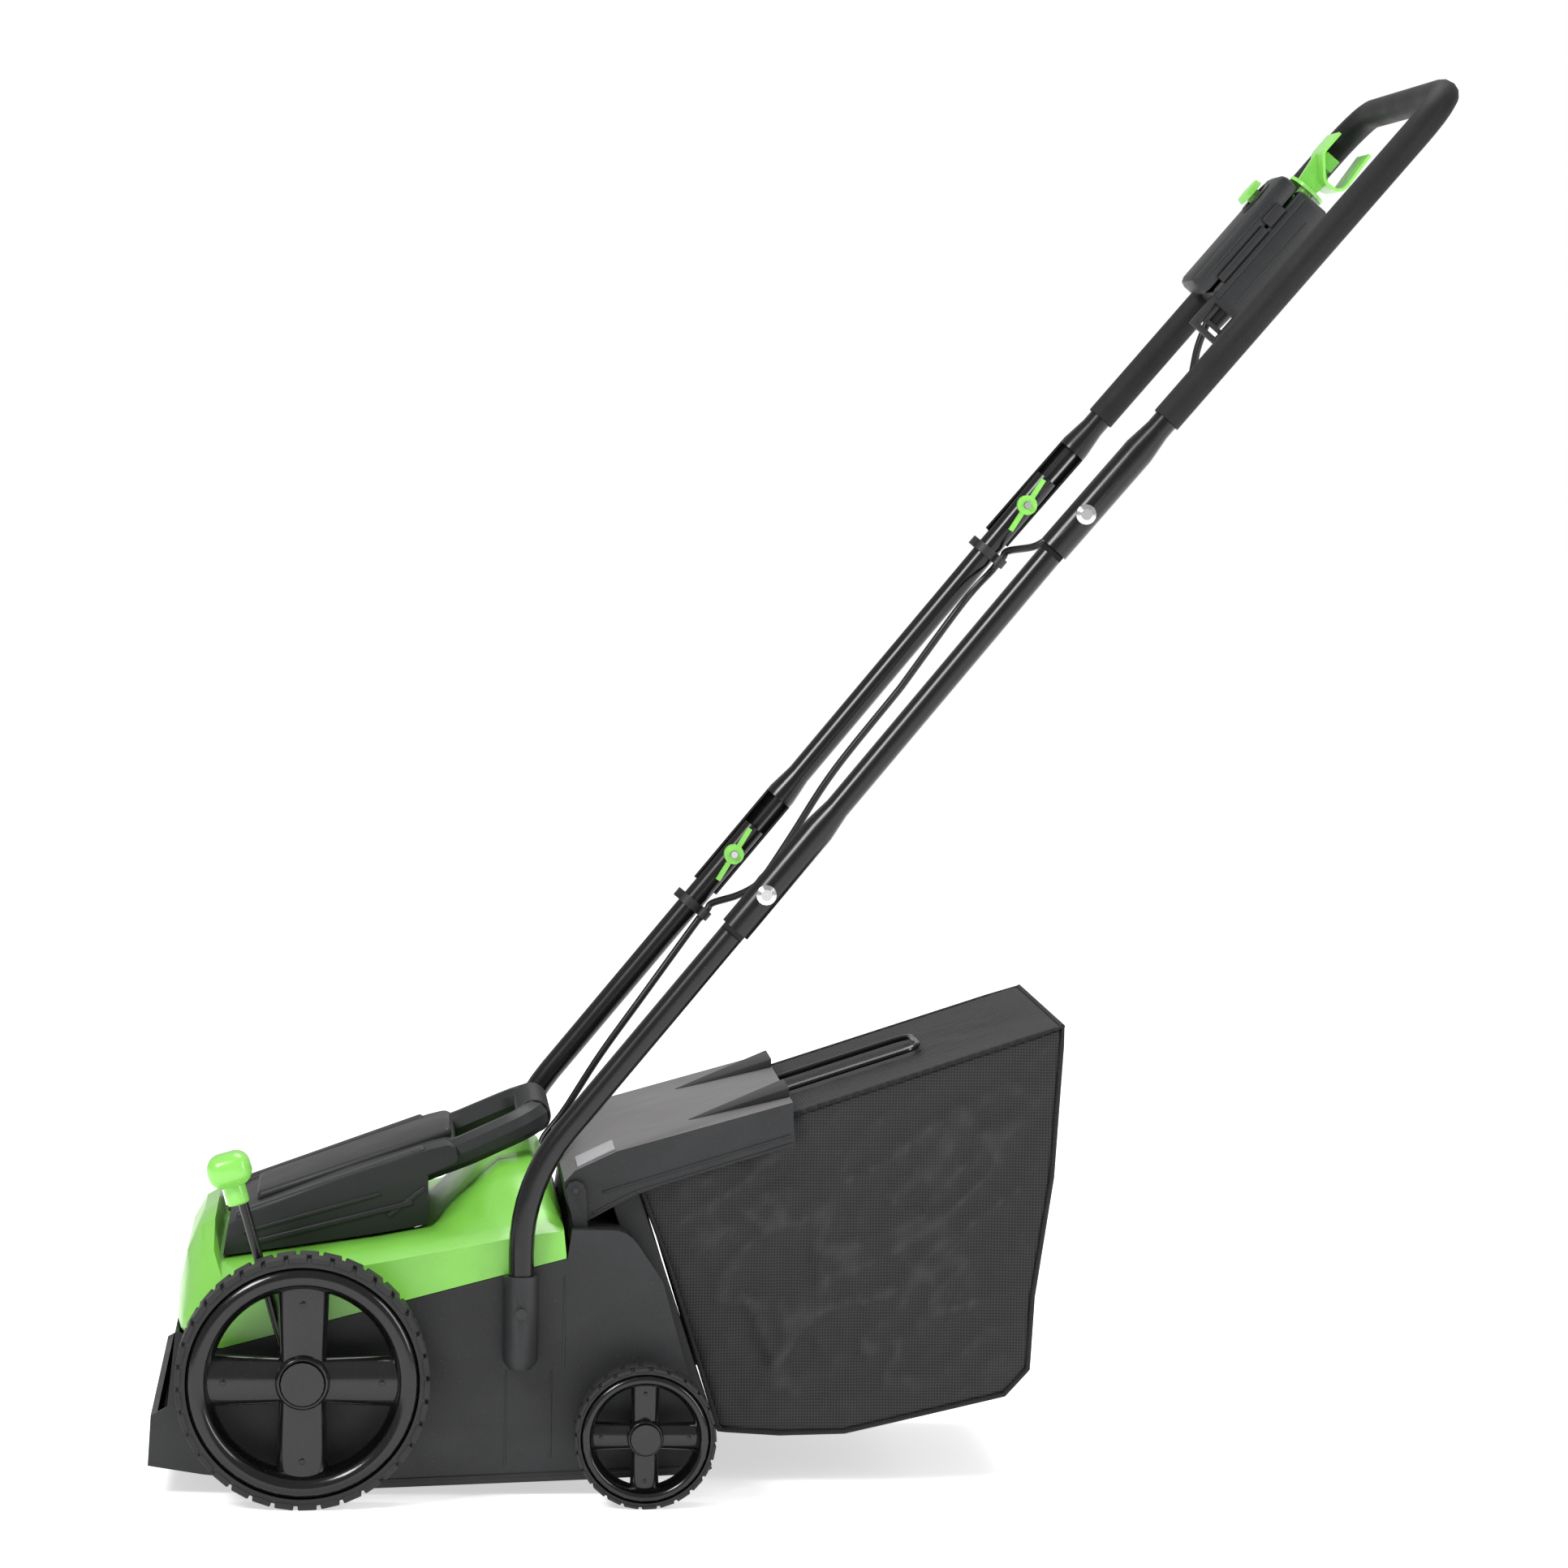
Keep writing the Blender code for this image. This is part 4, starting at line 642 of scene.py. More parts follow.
SMOOTH_ANGLE = {
    "top_cover": 50, "upper_handle": 60, "foam_grip": 60, "mid_tube_left": 50, "mid_tube_right": 50,
    "lower_tube_left": 50, "lower_tube_right": 50, "motor_cover": 34,
}
MADE_ANEW = (
    "front_wheel_left", "front_wheel_right", "rear_wheel_left", "rear_wheel_right", "collection_bag",
    "front_tread_left", "front_tread_right", "rear_tread_left", "rear_tread_right",
    "motor_lead_lower", "motor_lead_middle", "motor_lead_upper", "depth_lever_knob",
)
DARK_METAL = ("socket_screw_left", "socket_screw_right", "flap_hinge_pin", "bag_frame")
CONTROL_GREEN = (
    "lower_wing_nut_left", "lower_wing_nut_right", "upper_wing_nut_left",
    "upper_wing_nut_right", "lock_button", "switch_bar",
)


def smooth_copy(node):
    """The node's own shape, merged into one skin with smooth curved faces."""
    source = frame["nodes"][node]
    piece = linked(node + "_skin", source.data.copy())
    activate(piece)
    bpy.ops.object.mode_set(mode="EDIT")
    bpy.ops.mesh.select_all(action="SELECT")
    bpy.ops.mesh.customdata_custom_splitnormals_clear()
    bpy.ops.mesh.remove_doubles(threshold=0.000005)
    bpy.ops.mesh.dissolve_limited(angle_limit=math.radians(0.4))
    bpy.ops.object.mode_set(mode="OBJECT")
    smoothed(piece, SMOOTH_ANGLE.get(node, 36))
    if node in CONTROL_GREEN:
        finish_with(piece, "control_green")
    if node in DARK_METAL:
        finish_with(piece, "gloss_plastic")
    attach(piece, source["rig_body"])
    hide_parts(node)
    return piece


class DETHATCHER_OT_skins(bpy.types.Operator):
    """Finishes the frame's own mouldings, tubes and metal parts as smooth skins"""

    bl_idname = "dethatcher.skins"
    bl_label = "Mouldings, tubes and metal parts"

    def execute(self, context):
        for node in sorted(frame["nodes"]):
            if node not in MADE_ANEW:
                piece = smooth_copy(node)
                if node == "rear_flap":
                    finish_flap(piece)
        return {"FINISHED"}


def finish_flap(piece):
    """The flap's upward faces take the satin finish."""
    piece.data.materials.append(MATERIALS["flap_satin"])
    for face in piece.data.polygons:
        if face.normal.z > 0.5:
            face.material_index = 1


# ---------------------------------------------------------------- wheels

SIDES = {"left": 1, "right": -1}
CAP_RADIUS = {"front": 0.017, "rear": 0.0118}
TREAD_LUGS = {"front": 34, "rear": 24}
# Shares of the wheel's radius, and of one lug's pitch for the pads.
RIM_INNER, RIM_OUTER = 0.715, 0.953
BAND_RADIUS, PAD_HEIGHT, PAD_LENGTH = 0.966, 0.05, 0.80
SPOKE_FLATNESS = 0.62


def wheel_piece(name, centre, side, radius, width, spoke, cap):
    """Rounded rim ring, four flared round spokes, a domed hub and the spokes' screws."""
    upright = (math.pi / 2, 0, 0)
    inner, outer = radius * RIM_INNER, radius * RIM_OUTER
    minor = (outer - inner) / 2
    rim = started(
        bpy.ops.mesh.primitive_torus_add, "rim", major_segments=80, minor_segments=18,
        major_radius=(outer + inner) / 2, minor_radius=minor, location=centre, rotation=upright,
    )
    rim.scale = (1, 1, (width / 2 - 0.0006) / minor)
    pieces = [settle(rim)]
    for k in range(4):
        turn = k * math.pi / 2
        out = Vector((math.cos(turn), 0, math.sin(turn)))
        reach = inner + minor * 0.6
        arm = bar("spoke", centre + out * radius * 0.1, centre + out * reach, spoke / 2, 28)
        activate(arm)
        bpy.ops.object.mode_set(mode="EDIT")
        bpy.ops.mesh.select_all(action="SELECT")
        bpy.ops.transform.resize(value=(1, SPOKE_FLATNESS, 1), center_override=centre)
        bpy.ops.mesh.select_all(action="DESELECT")
        bpy.ops.object.mode_set(mode="OBJECT")
        for vertex in arm.data.vertices:
            vertex.select = (vertex.co - centre).dot(out) > reach - 0.001
        bpy.ops.object.mode_set(mode="EDIT")
        bpy.ops.transform.resize(value=(1.16, 1.1, 1.16), center_override=centre + out * reach)
        bpy.ops.object.mode_set(mode="OBJECT")
        pieces.append(arm)
        face = centre + out * radius * 0.62 + Vector((0, side * spoke * 0.31, 0))
        head = bar("screw", face - Vector((0, side * 0.002, 0)), face + Vector((0, side * 0.0016, 0)),
                   radius * 0.026, 14)
        pieces.append(rounded(head, 0.0005, 2))
    hub = bar("hub", centre - Vector((0, side * (width / 2 - 0.001), 0)),
              centre + Vector((0, side * (width / 2 - 0.0042), 0)), cap + radius * 0.045, 48)
    pieces.append(rounded(hub, radius * 0.03, 4))
    place = centre + Vector((0, side * (width / 2 - 0.0044), 0))
    pieces.append(ring("collar", place, upright, cap + radius * 0.016, radius * 0.018, 48, 12))
    return smoothed(joined(pieces, name), 45)


def tread_piece(name, centre, radius, width, lugs):
    """A rubber band with two rows of flat pads, the rows half a pad apart."""
    band = started(
        bpy.ops.mesh.primitive_cylinder_add, "band", vertices=96, radius=radius * BAND_RADIUS,
        depth=width - 0.003, end_fill_type="NOTHING", location=centre, rotation=(math.pi / 2, 0, 0),
    )
    pieces = [outward(walled(settle(band), radius * 0.05))]
    pitch = 2 * math.pi / lugs
    length = radius * pitch * PAD_LENGTH
    high = radius * PAD_HEIGHT
    reach = math.sqrt(radius**2 - (length / 2) ** 2)
    for half in (-1, 1):
        first = slab(
            "pad", centre + Vector((0, half * width * 0.25, reach - high / 2)),
            (length, width * 0.47, high), 0, 0.0007, 1,
        )
        for k in range(lugs):
            pad = linked("pad", first.data.copy())
            turn = Matrix.Rotation((k + 0.25 * half) * pitch, 4, "Y")
            pad.data.transform(Matrix.Translation(centre) @ turn @ Matrix.Translation(-centre))
            pieces.append(pad)
        bpy.data.objects.remove(first)
    return smoothed(joined(pieces, name), 30)


class DETHATCHER_OT_wheels(bpy.types.Operator):
    """Makes the four wheels: glossy rims, spokes and hubs, and lugged rubber treads"""

    bl_idname = "dethatcher.wheels"
    bl_label = "Wheels"

    def execute(self, context):
        s = sizes()
        for end, spoke in (("front", s.spoke_width), ("rear", s.rear_spoke_width)):
            for label, side in SIDES.items():
                wheel, tread = f"{end}_wheel_{label}", f"{end}_tread_{label}"
                low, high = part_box(wheel)
                tread_low, tread_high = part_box(tread)
                radius = (tread_high.z - tread_low.z) / 2
                width = tread_high.y - tread_low.y
                moulding = wheel_piece(
                    wheel + "_moulding", middle(wheel), side, radius, high.y - low.y, spoke,
                    CAP_RADIUS[end],
                )
                stands_for(moulding, wheel, "gloss_plastic", wheel)
                rubber = tread_piece(tread + "_rubber", middle(tread), radius, width, TREAD_LUGS[end])
                stands_for(rubber, wheel, "tread", tread)
        return {"FINISHED"}


# ---------------------------------------------------------------- covers and flap


def sloping(name, start, end, y_span, thick, rounding):
    """A rounded plate that lies along a slope from start to end, across a span of Y."""
    (x0, z0), (x1, z1) = start, end
    centre = row((x0 + x1) / 2, sum(y_span) / 2, (z0 + z1) / 2)
    length = math.hypot(x1 - x0, z1 - z0)
    turn = -math.atan2(z1 - z0, x1 - x0)
    return slab(name, centre, (length, abs(y_span[1] - y_span[0]), thick), turn, rounding, 4)


def side_strips(name, y, strips):
    """Sloping strips on both sides, each given by its ends, half width, thickness and rounding."""
    return [
        sloping(name, start, end, (side * y - half, side * y + half), thick, rounding)
        for side in (-1, 1)
        for start, end, half, thick, rounding in strips
    ]


COVER_SIDE = 0.1103
GRIP_HALF = 0.055


class DETHATCHER_OT_cover_details(bpy.types.Operator):
    """Makes the raised tiers of the motor cover, its side grooves and the grip's ribs"""

    bl_idname = "dethatcher.cover_details"
    bl_label = "Motor cover details"

    def execute(self, context):
        tiers = [
            sloping("tier", (-0.040, 0.2185), (0.117, 0.2735), (-0.058, 0.058), 0.010, 0.0045),
            sloping("tier", (-0.056, 0.2095), (0.096, 0.2645), (-0.1075, -0.088), 0.008, 0.0035),
            sloping("tier", (-0.056, 0.2095), (0.096, 0.2645), (0.088, 0.1075), 0.008, 0.0035),
        ]
        fitted(tiers, "motor_cover_tiers", 50, "deck", "black_plastic")
        steps = side_strips("step", COVER_SIDE, (
            ((-0.050, 0.1985), (0.060, 0.2305), 0.0012, 0.0035, 0.001),
            ((-0.046, 0.1895), (0.086, 0.2235), 0.0016, 0.0050, 0.0015),
            ((0.066, 0.2120), (0.096, 0.2360), 0.0012, 0.0040, 0.001),
        ))
        fitted(steps, "motor_cover_side_steps", 50, "deck", "black_plastic")
        ribs = []
        count = sizes().grip_ribs
        for k in range(count):
            y = -GRIP_HALF + 2 * GRIP_HALF * k / (count - 1)
            ribs.append(ring("rib", row(0.184, y, 0.287), (math.pi / 2, 0, 0), 0.0128, 0.0011, 28, 8))
        fitted(ribs, "carry_grip_ribs", 60, "deck", "black_plastic")
        return {"FINISHED"}


def wedge(name, tip, end, half, height):
    """A ridge that grows from a point at its tip to a rounded wall at its end."""
    tip, end = Vector(tip), Vector(end)
    piece = started(bpy.ops.mesh.primitive_cube_add, name, size=1, location=(0, 0, 0))
    for vertex in piece.data.vertices:
        far = vertex.co.x > 0
        base = end if far else tip
        spread_y = half if far else half * 0.12
        lift = height if far else 0.0004
        z = base.z + (lift if vertex.co.z > 0 else -0.003)
        vertex.co = (base.x, base.y + (spread_y if vertex.co.y > 0 else -spread_y), z)
    return rounded(piece, 0.0012, 2, 20)


class DETHATCHER_OT_flap_details(bpy.types.Operator):
    """Makes the flap's tapered ridges, silver corners and skirt lines; the skirt lines are black, painted
    shade for the skirt's groove
    """

    bl_idname = "dethatcher.flap_details"
    bl_label = "Rear flap details"

    def execute(self, context):
        ridges = []
        for side in (-1, 1):
            for k in range(sizes().flap_ribs):
                y = side * (0.100 - 0.040 * k)
                tip, end = row(0.306, y, 0.2893), row(0.3865, y, 0.3122)
                ridges.append(wedge("ridge", tip, end, 0.030, 0.0085))
        fitted(ridges, "flap_ridges", 30, "flap", "black_plastic")
        corners = side_strips("corner", 0.130, (((0.216, 0.2592), (0.246, 0.2735), 0.026, 0.0024, 0.0010),))
        fitted(corners, "flap_corner_panels", 40, "flap", "flap_silver")
        # Painted shade: black strips along the skirt where its groove lies in shade.
        lines = side_strips("line", 0.1652, (
            ((0.236, 0.2400), (0.386, 0.2865), 0.0009, 0.0022, 0.0006),
            ((0.228, 0.2230), (0.262, 0.2405), 0.0009, 0.0022, 0.0006),
            ((0.262, 0.2405), (0.388, 0.2800), 0.0009, 0.0022, 0.0006),
        ))
        fitted(lines, "flap_skirt_groove_shade", 40, "flap", "black_plastic")
        return {"FINISHED"}


# ---------------------------------------------------------------- bag

BAG_HALF = 0.155
BAG_OUTLINE = (
    (0.262, 0.251), (0.289, 0.180), (0.316, 0.094), (0.331, 0.046), (0.380, 0.043), (0.433, 0.0445),
    (0.491, 0.058), (0.563, 0.075), (0.582, 0.096), (0.585, 0.155), (0.599, 0.253), (0.606, 0.376),
    (0.386, 0.303), (0.275, 0.2663),
)
SEWN_CORNERS = (8, 11)
MOUTH_LINE = (Vector((0.262, 0, 0.251)), Vector((0.331, 0, 0.046)))
TOP_SLOPE = Vector((0.3163, 0, 0.9486))
BAG_CENTRE = Vector((0.44, 0.17))
PIPING_SCALE = 0.9895
HELD_REACH = 0.05
# The turn, length and strength of each set of creases.
CREASES = ((0.62, 0.075, 1.0), (-0.95, 0.060, 0.75), (1.35, 0.045, 0.5))


def inside_depth(x, z):
    """How far a point of the side lies from the panel's sewn edges."""
    least = 1.0
    points = [Vector((a, b)) for a, b in BAG_OUTLINE]
    here = Vector((x, z))
    for a, b in zip(points, points[1:] + points[:1]):
        along = b - a
        t = max(0.0, min(1.0, (here - a).dot(along) / along.length_squared))
        least = min(least, (here - a - along * t).length)
    return least


def crease(x, z, seed):
    """Folds that run in different directions over the cloth, sharp at their crests."""
    total = 0.0
    for turn, length, strength in CREASES:
        u = x * math.cos(turn) + z * math.sin(turn)
        v = -x * math.sin(turn) + z * math.cos(turn)
        wave = noise.noise(Vector((u / length, v / (length * 0.36), seed)))
        total += strength * (1 - min(1.0, 4.4 * abs(wave)))
    return total / sum(strength for _, _, strength in CREASES)


def bag_block():
    """The bag's outline as a closed block with rounded edges and an even skin."""
    data = bpy.data.meshes.new("bag_cloth")
    count = len(BAG_OUTLINE)
    corners = [row(x, y, z) for y in (-BAG_HALF, BAG_HALF) for x, z in BAG_OUTLINE]
    faces = [list(range(count)), list(range(2 * count - 1, count - 1, -1))]
    faces += [[k, k + count, (k + 1) % count + count, (k + 1) % count] for k in range(count)]
    data.from_pydata(corners, [], faces)
    body = linked("bag_cloth", data)
    outward(body)
    rounded(body, 0.006, 3, 25)
    body.data.remesh_voxel_size = sizes().cloth_cell
    activate(body)
    bpy.ops.object.voxel_remesh()
    return body


def crumpled(body):
    """Creases and hollows the sides, lets the other panels sag, and softens the whole; the fold attribute
    holds the painted highlight on the crease crests.
    """
    normals = [v.normal.copy() for v in body.data.vertices]
    painted_crest_highlights = body.data.attributes.new("fold", "FLOAT", "POINT")
    for vertex, normal in zip(body.data.vertices, normals):
        x, y, z = vertex.co.x - SHIFT, vertex.co.y, vertex.co.z
        if abs(normal.y) > 0.6:
            hollow = min(1.0, inside_depth(x, z) / HELD_REACH)
            side = 1 if normal.y > 0 else -1
            sharp = crease(x, z, 3.0 * side)
            # Painted highlight: how much each crease's crest is lightened.
            painted_crest_highlights.data[vertex.index].value = max(0.0, sharp - 0.40) * 0.95 * hollow
            fold = sharp * sizes().crumple * hollow
            swell = 0.4 + 0.6 * noise.noise(Vector((x * 9, side * 4, z * 9)))
            belly = 0.006 * hollow * hollow * swell
            vertex.co.y += side * (fold - 0.0070 * hollow - belly * 0.6)
        else:
            centre = 1 - min(1.0, (abs(y) / BAG_HALF) ** 2)
            wave = crease(y, (x + z) * 0.8, 11.0)
            amount = 0.0022 if normal.z > 0.6 else 0.0060
            nearest = min((Vector((x, z)) - Vector(BAG_OUTLINE[c])).length for c in SEWN_CORNERS)
            held = min(1.0, nearest / HELD_REACH) ** 2
            vertex.co -= normal * amount * held * centre * (0.6 + 0.9 * (1 - wave))
    activate(body)
    bpy.ops.object.mode_set(mode="EDIT")
    bpy.ops.mesh.select_all(action="SELECT")
    bpy.ops.mesh.vertices_smooth(factor=0.5, repeat=2)
    bpy.ops.mesh.select_all(action="DESELECT")
    bpy.ops.object.mode_set(mode="OBJECT")


def opened(body):
    """Removes the faces that close the bag's mouth."""
    low, high = MOUTH_LINE
    along = (high - low).normalized()
    facing = Vector((along.z, 0, -along.x))
    for face in body.data.polygons:
        place = face.center - row(*low)
        face.select = face.normal.dot(facing) > 0.75 and abs(place.dot(facing)) < 0.012
    bpy.ops.object.mode_set(mode="EDIT")
    bpy.ops.mesh.delete(type="FACE")
    bpy.ops.object.mode_set(mode="OBJECT")


def cut_from_cloth(body):
    """Lays each panel on the cloth's flat pattern and picks the ribbed cloth for the top."""
    pattern = body.data.uv_layers.new(name="cut")
    for face in body.data.polygons:
        top = face.normal.dot(TOP_SLOPE) > 0.8
        face.material_index = 1 if top else 0
        for loop in face.loop_indices:
            co = body.data.vertices[body.data.loops[loop].vertex_index].co
            if abs(face.normal.y) > 0.6:
                place = (co.x, co.z)
            elif abs(face.normal.z) > 0.5:
                place = (co.y, co.x)
            else:
                place = (co.y, co.z)
            pattern.data[loop].uv = place


def inset_corner(corner):
    """A corner of the outline, drawn in a little so that the piping lies on the cloth."""
    return BAG_CENTRE + (Vector(corner) - BAG_CENTRE) * PIPING_SCALE


def sewn_edges():
    """Piping round both side panels and across the two sewn corners."""
    edges = []
    for side in (-1, 1):
        y = side * (BAG_HALF - 0.0016)
        loop = [inset_corner(p) for p in BAG_OUTLINE + BAG_OUTLINE[:1]]
        line = [
            row(*(a + (b - a) * k / 8).to_3d().xzy) + Vector((0, y, 0))
            for a, b in zip(loop, loop[1:]) for k in range(8)
        ]
        edges.append(swept("edge", line, 0.0021, cyclic=True, sides=3))
    for corner in SEWN_CORNERS:
        x, z = inset_corner(BAG_OUTLINE[corner])
        line = [row(x, y / 10 * (BAG_HALF - 0.003), z) for y in range(-10, 11)]
        edges.append(swept("edge", line, 0.0019, sides=3))
    return edges


class DETHATCHER_OT_bag(bpy.types.Operator):
    """Makes the collection bag: a sagging net body under a ribbed top, with its sewn edges"""

    bl_idname = "dethatcher.bag"
    bl_label = "Collection bag"

    def execute(self, context):
        body = bag_block()
        crumpled(body)
        opened(body)
        cut_from_cloth(body)
        smoothed(walled(body, sizes().cloth_thickness), 60)
        body.data.materials.clear()
        body.data.materials.append(MATERIALS["bag_fabric"])
        body.data.materials.append(MATERIALS["bag_ribbed"])
        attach(body, "bag")
        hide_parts("collection_bag")
        stands_for(joined(sewn_edges(), "bag_sewn_edges"), "bag", "bag_ribbed")
        low, high = MOUTH_LINE
        reach = Vector((-0.0115, 0, -0.0035))
        start, end = (low.x + reach.x, low.z + reach.z), (high.x + reach.x, high.z + reach.z)
        plates = side_strips("plate", 0.1515, ((start, end, 0.0017, 0.0240, 0.0015),))
        fitted(plates, "bag_mouth_plates", 40, "bag", "black_plastic")
        return {"FINISHED"}


# ---------------------------------------------------------------- lead

LOWER_BOLT, LOWER_ANGLE = Vector((0.360, 0, 0.483)), math.radians(50.7)
UPPER_BOLT, UPPER_ANGLE = Vector((0.60765, 0, 0.785571)), math.radians(49.6)
CLIP_Y, CLIP_OFFSET = 0.1905, -0.0138
SLACK_Y = 0.166


def beside(bolt, angle, along, y, offset):
    """A point along a tube from its bolt, and offset square to it."""
    tube = Vector((math.cos(angle), 0, math.sin(angle)))
    square = Vector((-math.sin(angle), 0, math.cos(angle)))
    place = bolt + tube * along + square * offset
    return row(place.x, y, place.z)


def in_clip(along):
    """Four points of the lead as it lies straight in a clip of the lower tube."""
    return [
        beside(LOWER_BOLT, LOWER_ANGLE, along + d, CLIP_Y, CLIP_OFFSET)
        for d in (-0.012, -0.005, 0.005, 0.012)
    ]


def lead_points():
    """The lead's two runs: from the deck past the lower fold, and on past the upper fold."""
    lower = [
        row(0.196, 0.166, 0.2225), row(0.199, 0.1735, 0.238), row(0.217, 0.1765, 0.262),
        row(0.247, 0.1755, 0.310), row(0.284, 0.1785, 0.362),
    ]
    lower += in_clip(-0.056)
    lower += [
        beside(LOWER_BOLT, LOWER_ANGLE, *p)
        for p in (
            (-0.026, 0.1775, -0.024), (-0.010, SLACK_Y, -0.0296), (0, SLACK_Y, -0.030),
            (0.010, SLACK_Y, -0.030), (0.045, SLACK_Y, -0.026), (0.110, SLACK_Y, -0.018),
            (0.200, SLACK_Y, -0.016),
        )
    ]
    upper = [
        beside(LOWER_BOLT, LOWER_ANGLE, *p) for p in ((0.200, SLACK_Y, -0.016), (0.290, SLACK_Y, -0.010))
    ]
    upper += in_clip(0.339)
    upper += [
        beside(UPPER_BOLT, LOWER_ANGLE, *p)
        for p in ((-0.024, 0.167, -0.026), (-0.009, 0.1625, -0.0306), (0, 0.162, -0.031))
    ]
    upper += [
        beside(UPPER_BOLT, angle, *p)
        for angle, p in (
            (LOWER_ANGLE, (0.009, 0.1615, -0.0314)), (UPPER_ANGLE, (0.045, 0.158, -0.036)),
            (UPPER_ANGLE, (0.110, 0.152, -0.041)), (UPPER_ANGLE, (0.160, 0.1532, -0.036)),
            (UPPER_ANGLE, (0.196, 0.1532, -0.018)), (UPPER_ANGLE, (0.2245, 0.1532, -0.0076)),
        )
    ]
    return lower, upper


class DETHATCHER_OT_lead(bpy.types.Operator):
    """Makes the motor lead in two runs, each passing one fold of the handle"""

    bl_idname = "dethatcher.lead"
    bl_label = "Motor lead"

    def execute(self, context):
        radius = sizes().lead_radius
        lower, upper = lead_points()
        first = swept("motor_lead_first_run", curved(lower, 7), radius, sides=3)
        finish_with(first, "cable")
        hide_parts("motor_lead_lower")
        second = swept("motor_lead_second_run", curved(upper, 7), radius, sides=3)
        finish_with(second, "cable")
        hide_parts("motor_lead_middle", "motor_lead_upper")
        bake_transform(first)
        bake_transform(second)
        return {"FINISHED"}


# ---------------------------------------------------------------- controls


class DETHATCHER_OT_knob(bpy.types.Operator):
    """Makes the depth lever's rounded knob with its neck and parting line"""

    bl_idname = "dethatcher.knob"
    bl_label = "Depth lever knob"

    def execute(self, context):
        low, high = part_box("depth_lever_rod")
        top = Vector((low.x, (low.y + high.y) / 2, high.z))
        lean = (row(-0.050, top.y, 0.241) - row(-0.012, top.y, 0.107)).normalized()
        turn = lean.to_track_quat("Z", "Y").to_euler()
        centre = top + lean * 0.0200
        head = started(bpy.ops.mesh.primitive_cube_add, "head", size=1, location=centre, rotation=turn)
        head.scale = (0.0350, 0.0350, 0.0270)
        head = rounded(settle(head), 0.0115, 7)
        neck = bar("neck", top - lean * 0.0085, top + lean * 0.0100, 0.0090, 32)
        neck = rounded(neck, 0.0022, 3)
        pieces = [head, neck, ring("parting", centre, turn, 0.0171, 0.0006, 48, 8)]
        fitted(pieces, "depth_knob_moulding", 60, "front_crank", "control_green", "depth_lever_knob")
        return {"FINISHED"}


SWITCH_Y = 0.1532
BOX_SIDES = (0.1202, 0.1862)


def along_box(along, y, offset):
    """A point given along the upper tube, across it and out from it."""
    return beside(UPPER_BOLT, UPPER_ANGLE, along, y, offset)


def box_slab(name, centre, size, rounding=0.0008):
    """A small rounded block square to the switch box, its length along the tube."""
    return slab(name, along_box(*centre), size, -UPPER_ANGLE, rounding, 3)


class DETHATCHER_OT_switch_details(bpy.types.Operator):
    """Makes the switch box's latch strip, slot, seam band, hook and button collar"""

    bl_idname = "dethatcher.switch_details"
    bl_label = "Switch box details"

    def execute(self, context):
        pieces = []
        for y in BOX_SIDES:
            pieces.append(box_slab("band", (0.290, y, 0.001), (0.112, 0.0022, 0.0045)))
            pieces.append(box_slab("groove", (0.286, y, 0.019), (0.094, 0.0016, 0.0018)))
            pieces.append(box_slab("groove", (0.286, y, -0.015), (0.090, 0.0016, 0.0020)))
        latch_y, hook_y = BOX_SIDES[0] - 0.0008, BOX_SIDES[0] + 0.004
        pieces.append(box_slab("latch", (0.276, latch_y, 0.0085), (0.058, 0.0040, 0.0065)))
        pieces.append(box_slab("latch", (0.318, latch_y, 0.0105), (0.020, 0.0030, 0.0100)))
        for along, offset, size in (
            (0.232, -0.016, (0.004, 0.004, 0.026)), (0.214, -0.016, (0.004, 0.004, 0.022)),
            (0.223, -0.0275, (0.022, 0.004, 0.004)), (0.223, -0.0050, (0.022, 0.004, 0.004)),
        ):
            pieces.append(box_slab("hook", (along, hook_y, offset), size))
        place = along_box(0.323, SWITCH_Y, 0.0286)
        pieces.append(ring("collar", place, (0, -UPPER_ANGLE, 0), 0.0150, 0.0017, 56, 10))
        fitted(pieces, "switch_box_details", 45, "handle_upper", "black_plastic")
        ribs = [
            box_slab("rib", (0.386, SWITCH_Y - 0.008 + 0.008 * k, 0.002), (0.012, 0.0016, 0.014), 0.0005)
            for k in range(3)
        ]
        fitted(ribs, "switch_bar_ribs", 45, "switch_bar", "control_green")
        return {"FINISHED"}


# ---------------------------------------------------------------- deck details


DECK_SIDE = 0.1872


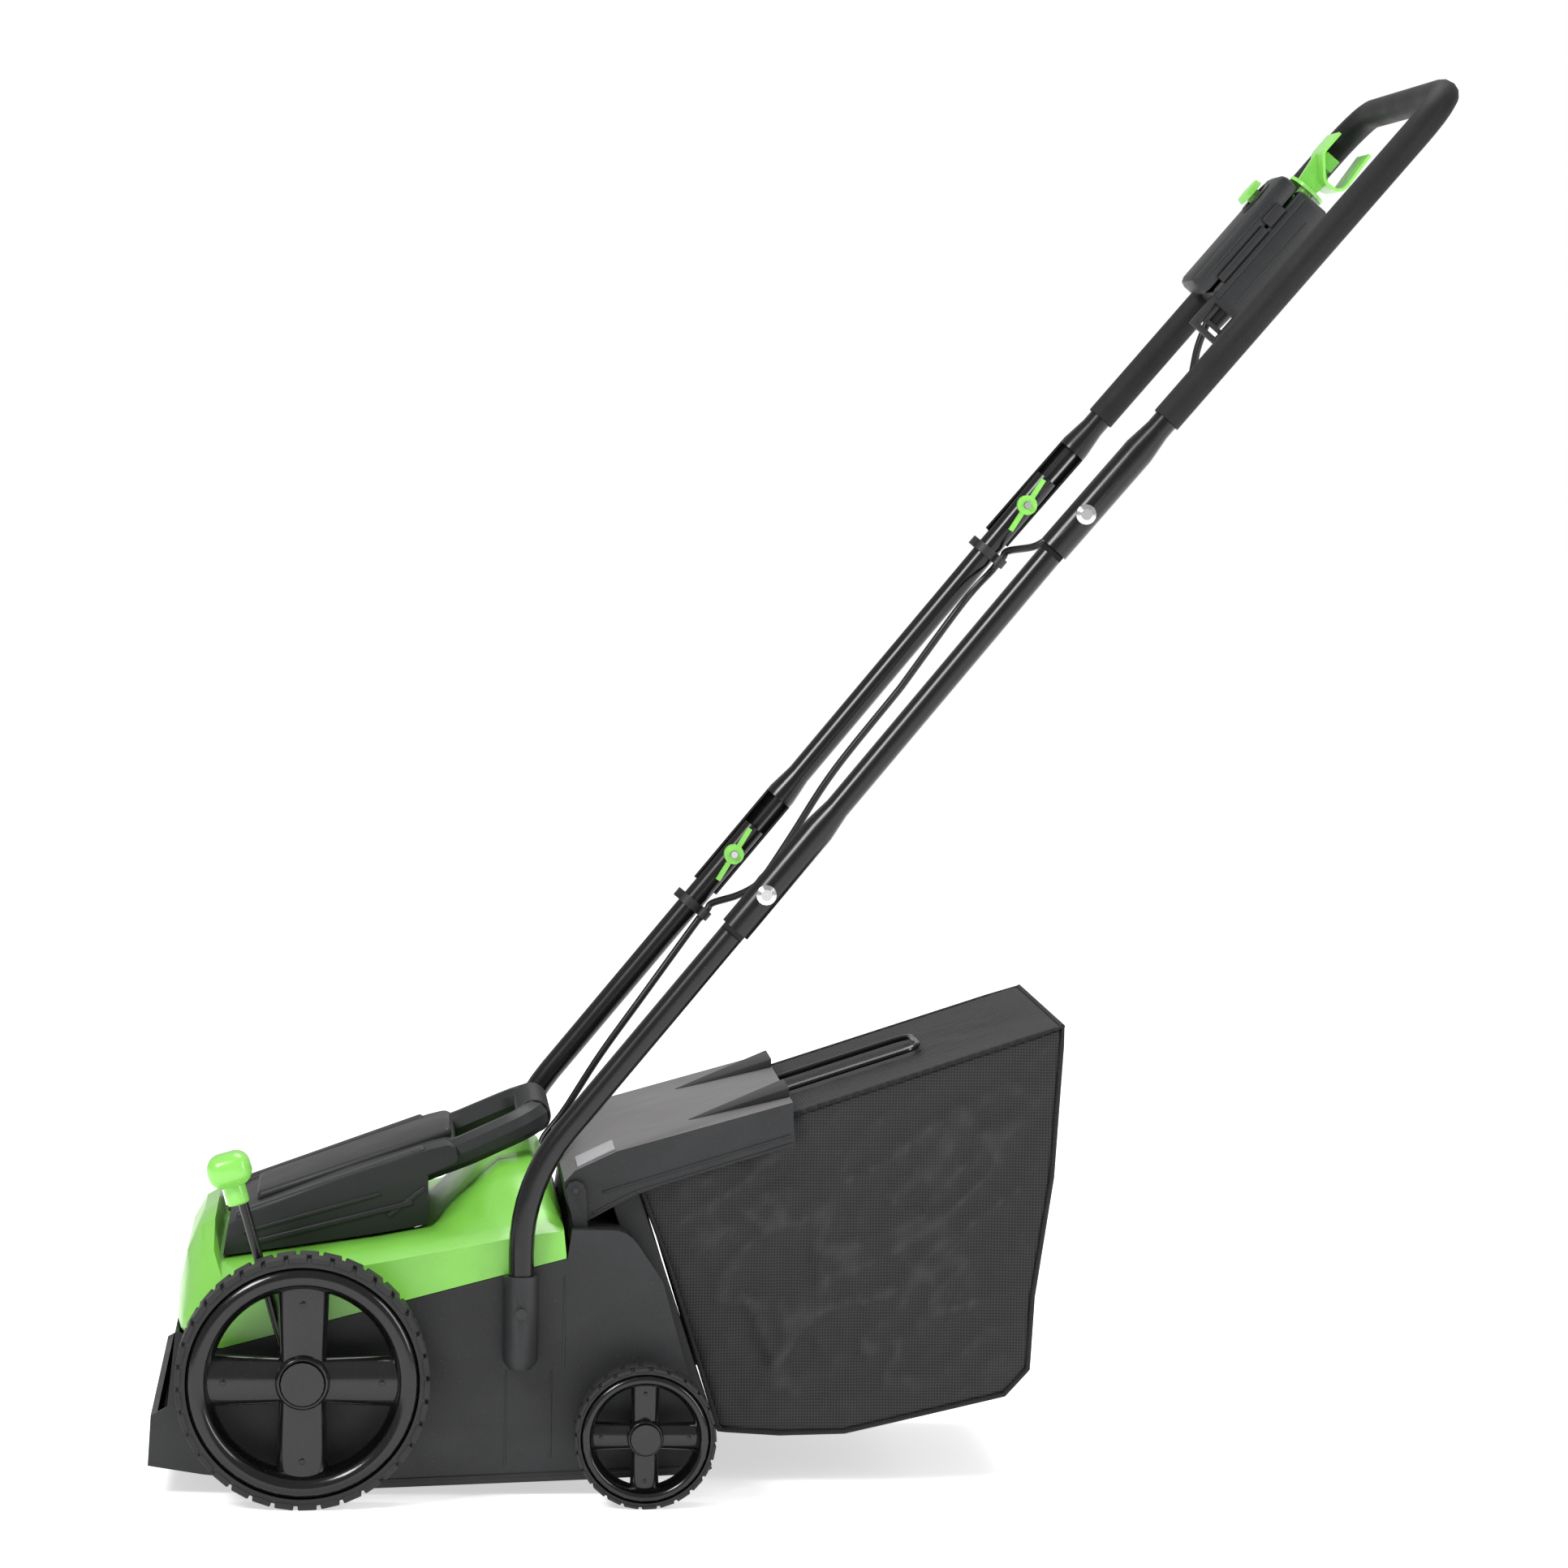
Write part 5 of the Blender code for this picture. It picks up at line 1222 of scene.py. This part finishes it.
class DETHATCHER_OT_deck_details(bpy.types.Operator):
    """Makes the steps and lines on the deck's sides"""

    bl_idname = "dethatcher.deck_details"
    bl_label = "Deck details"

    def execute(self, context):
        pieces = []
        for side in (-1, 1):
            for x, z0, z1 in ((0.196, 0.030, 0.100), (0.160, 0.024, 0.100), (0.206, 0.102, 0.176)):
                place = row(x, side * DECK_SIDE, (z0 + z1) / 2)
                pieces.append(slab("line", place, (0.0016, 0.0010, z1 - z0), 0, 0.0004))
        low_line = ((0.062, 0.0120), (0.300, 0.0225), 0.0008, 0.0030, 0.0007)
        pieces += side_strips("line", DECK_SIDE, (low_line,))
        fitted(pieces, "deck_side_lines", 40, "deck", "black_plastic")
        return {"FINISHED"}


# ---------------------------------------------------------------- the panel and the run

STEPS = (
    DETHATCHER_OT_stage, DETHATCHER_OT_finishes, DETHATCHER_OT_skins, DETHATCHER_OT_wheels,
    DETHATCHER_OT_cover_details, DETHATCHER_OT_flap_details, DETHATCHER_OT_bag, DETHATCHER_OT_lead,
    DETHATCHER_OT_knob, DETHATCHER_OT_switch_details, DETHATCHER_OT_deck_details,
)


class DETHATCHER_PT_panel(bpy.types.Panel):
    """The dethatcher's colours, sizes and steps"""

    bl_label = "Dethatcher"
    bl_idname = "DETHATCHER_PT_panel"
    bl_space_type = "VIEW_3D"
    bl_region_type = "UI"
    bl_category = "Dethatcher"

    def draw(self, context):
        for holder, kind in (
            (context.scene.dethatcher_colours, DethatcherColours),
            (context.scene.dethatcher_sizes, DethatcherSizes),
        ):
            for label in kind.__annotations__:
                self.layout.prop(holder, label)
        for step in STEPS:
            self.layout.operator(step.bl_idname)


CLASSES = (DethatcherColours, DethatcherSizes, *STEPS, DETHATCHER_PT_panel)


def register():
    for kind in CLASSES:
        bpy.utils.register_class(kind)
    bpy.types.Scene.dethatcher_colours = PointerProperty(type=DethatcherColours)
    bpy.types.Scene.dethatcher_sizes = PointerProperty(type=DethatcherSizes)


def unregister():
    del bpy.types.Scene.dethatcher_sizes
    del bpy.types.Scene.dethatcher_colours
    for kind in reversed(CLASSES):
        bpy.utils.unregister_class(kind)


def main():
    register()
    bpy.ops.dethatcher.stage()
    bpy.ops.dethatcher.finishes()
    bpy.ops.dethatcher.skins()
    bpy.ops.dethatcher.wheels()
    bpy.ops.dethatcher.cover_details()
    bpy.ops.dethatcher.flap_details()
    bpy.ops.dethatcher.bag()
    bpy.ops.dethatcher.lead()
    bpy.ops.dethatcher.knob()
    bpy.ops.dethatcher.switch_details()
    bpy.ops.dethatcher.deck_details()


if __name__ == "__main__":
    main()
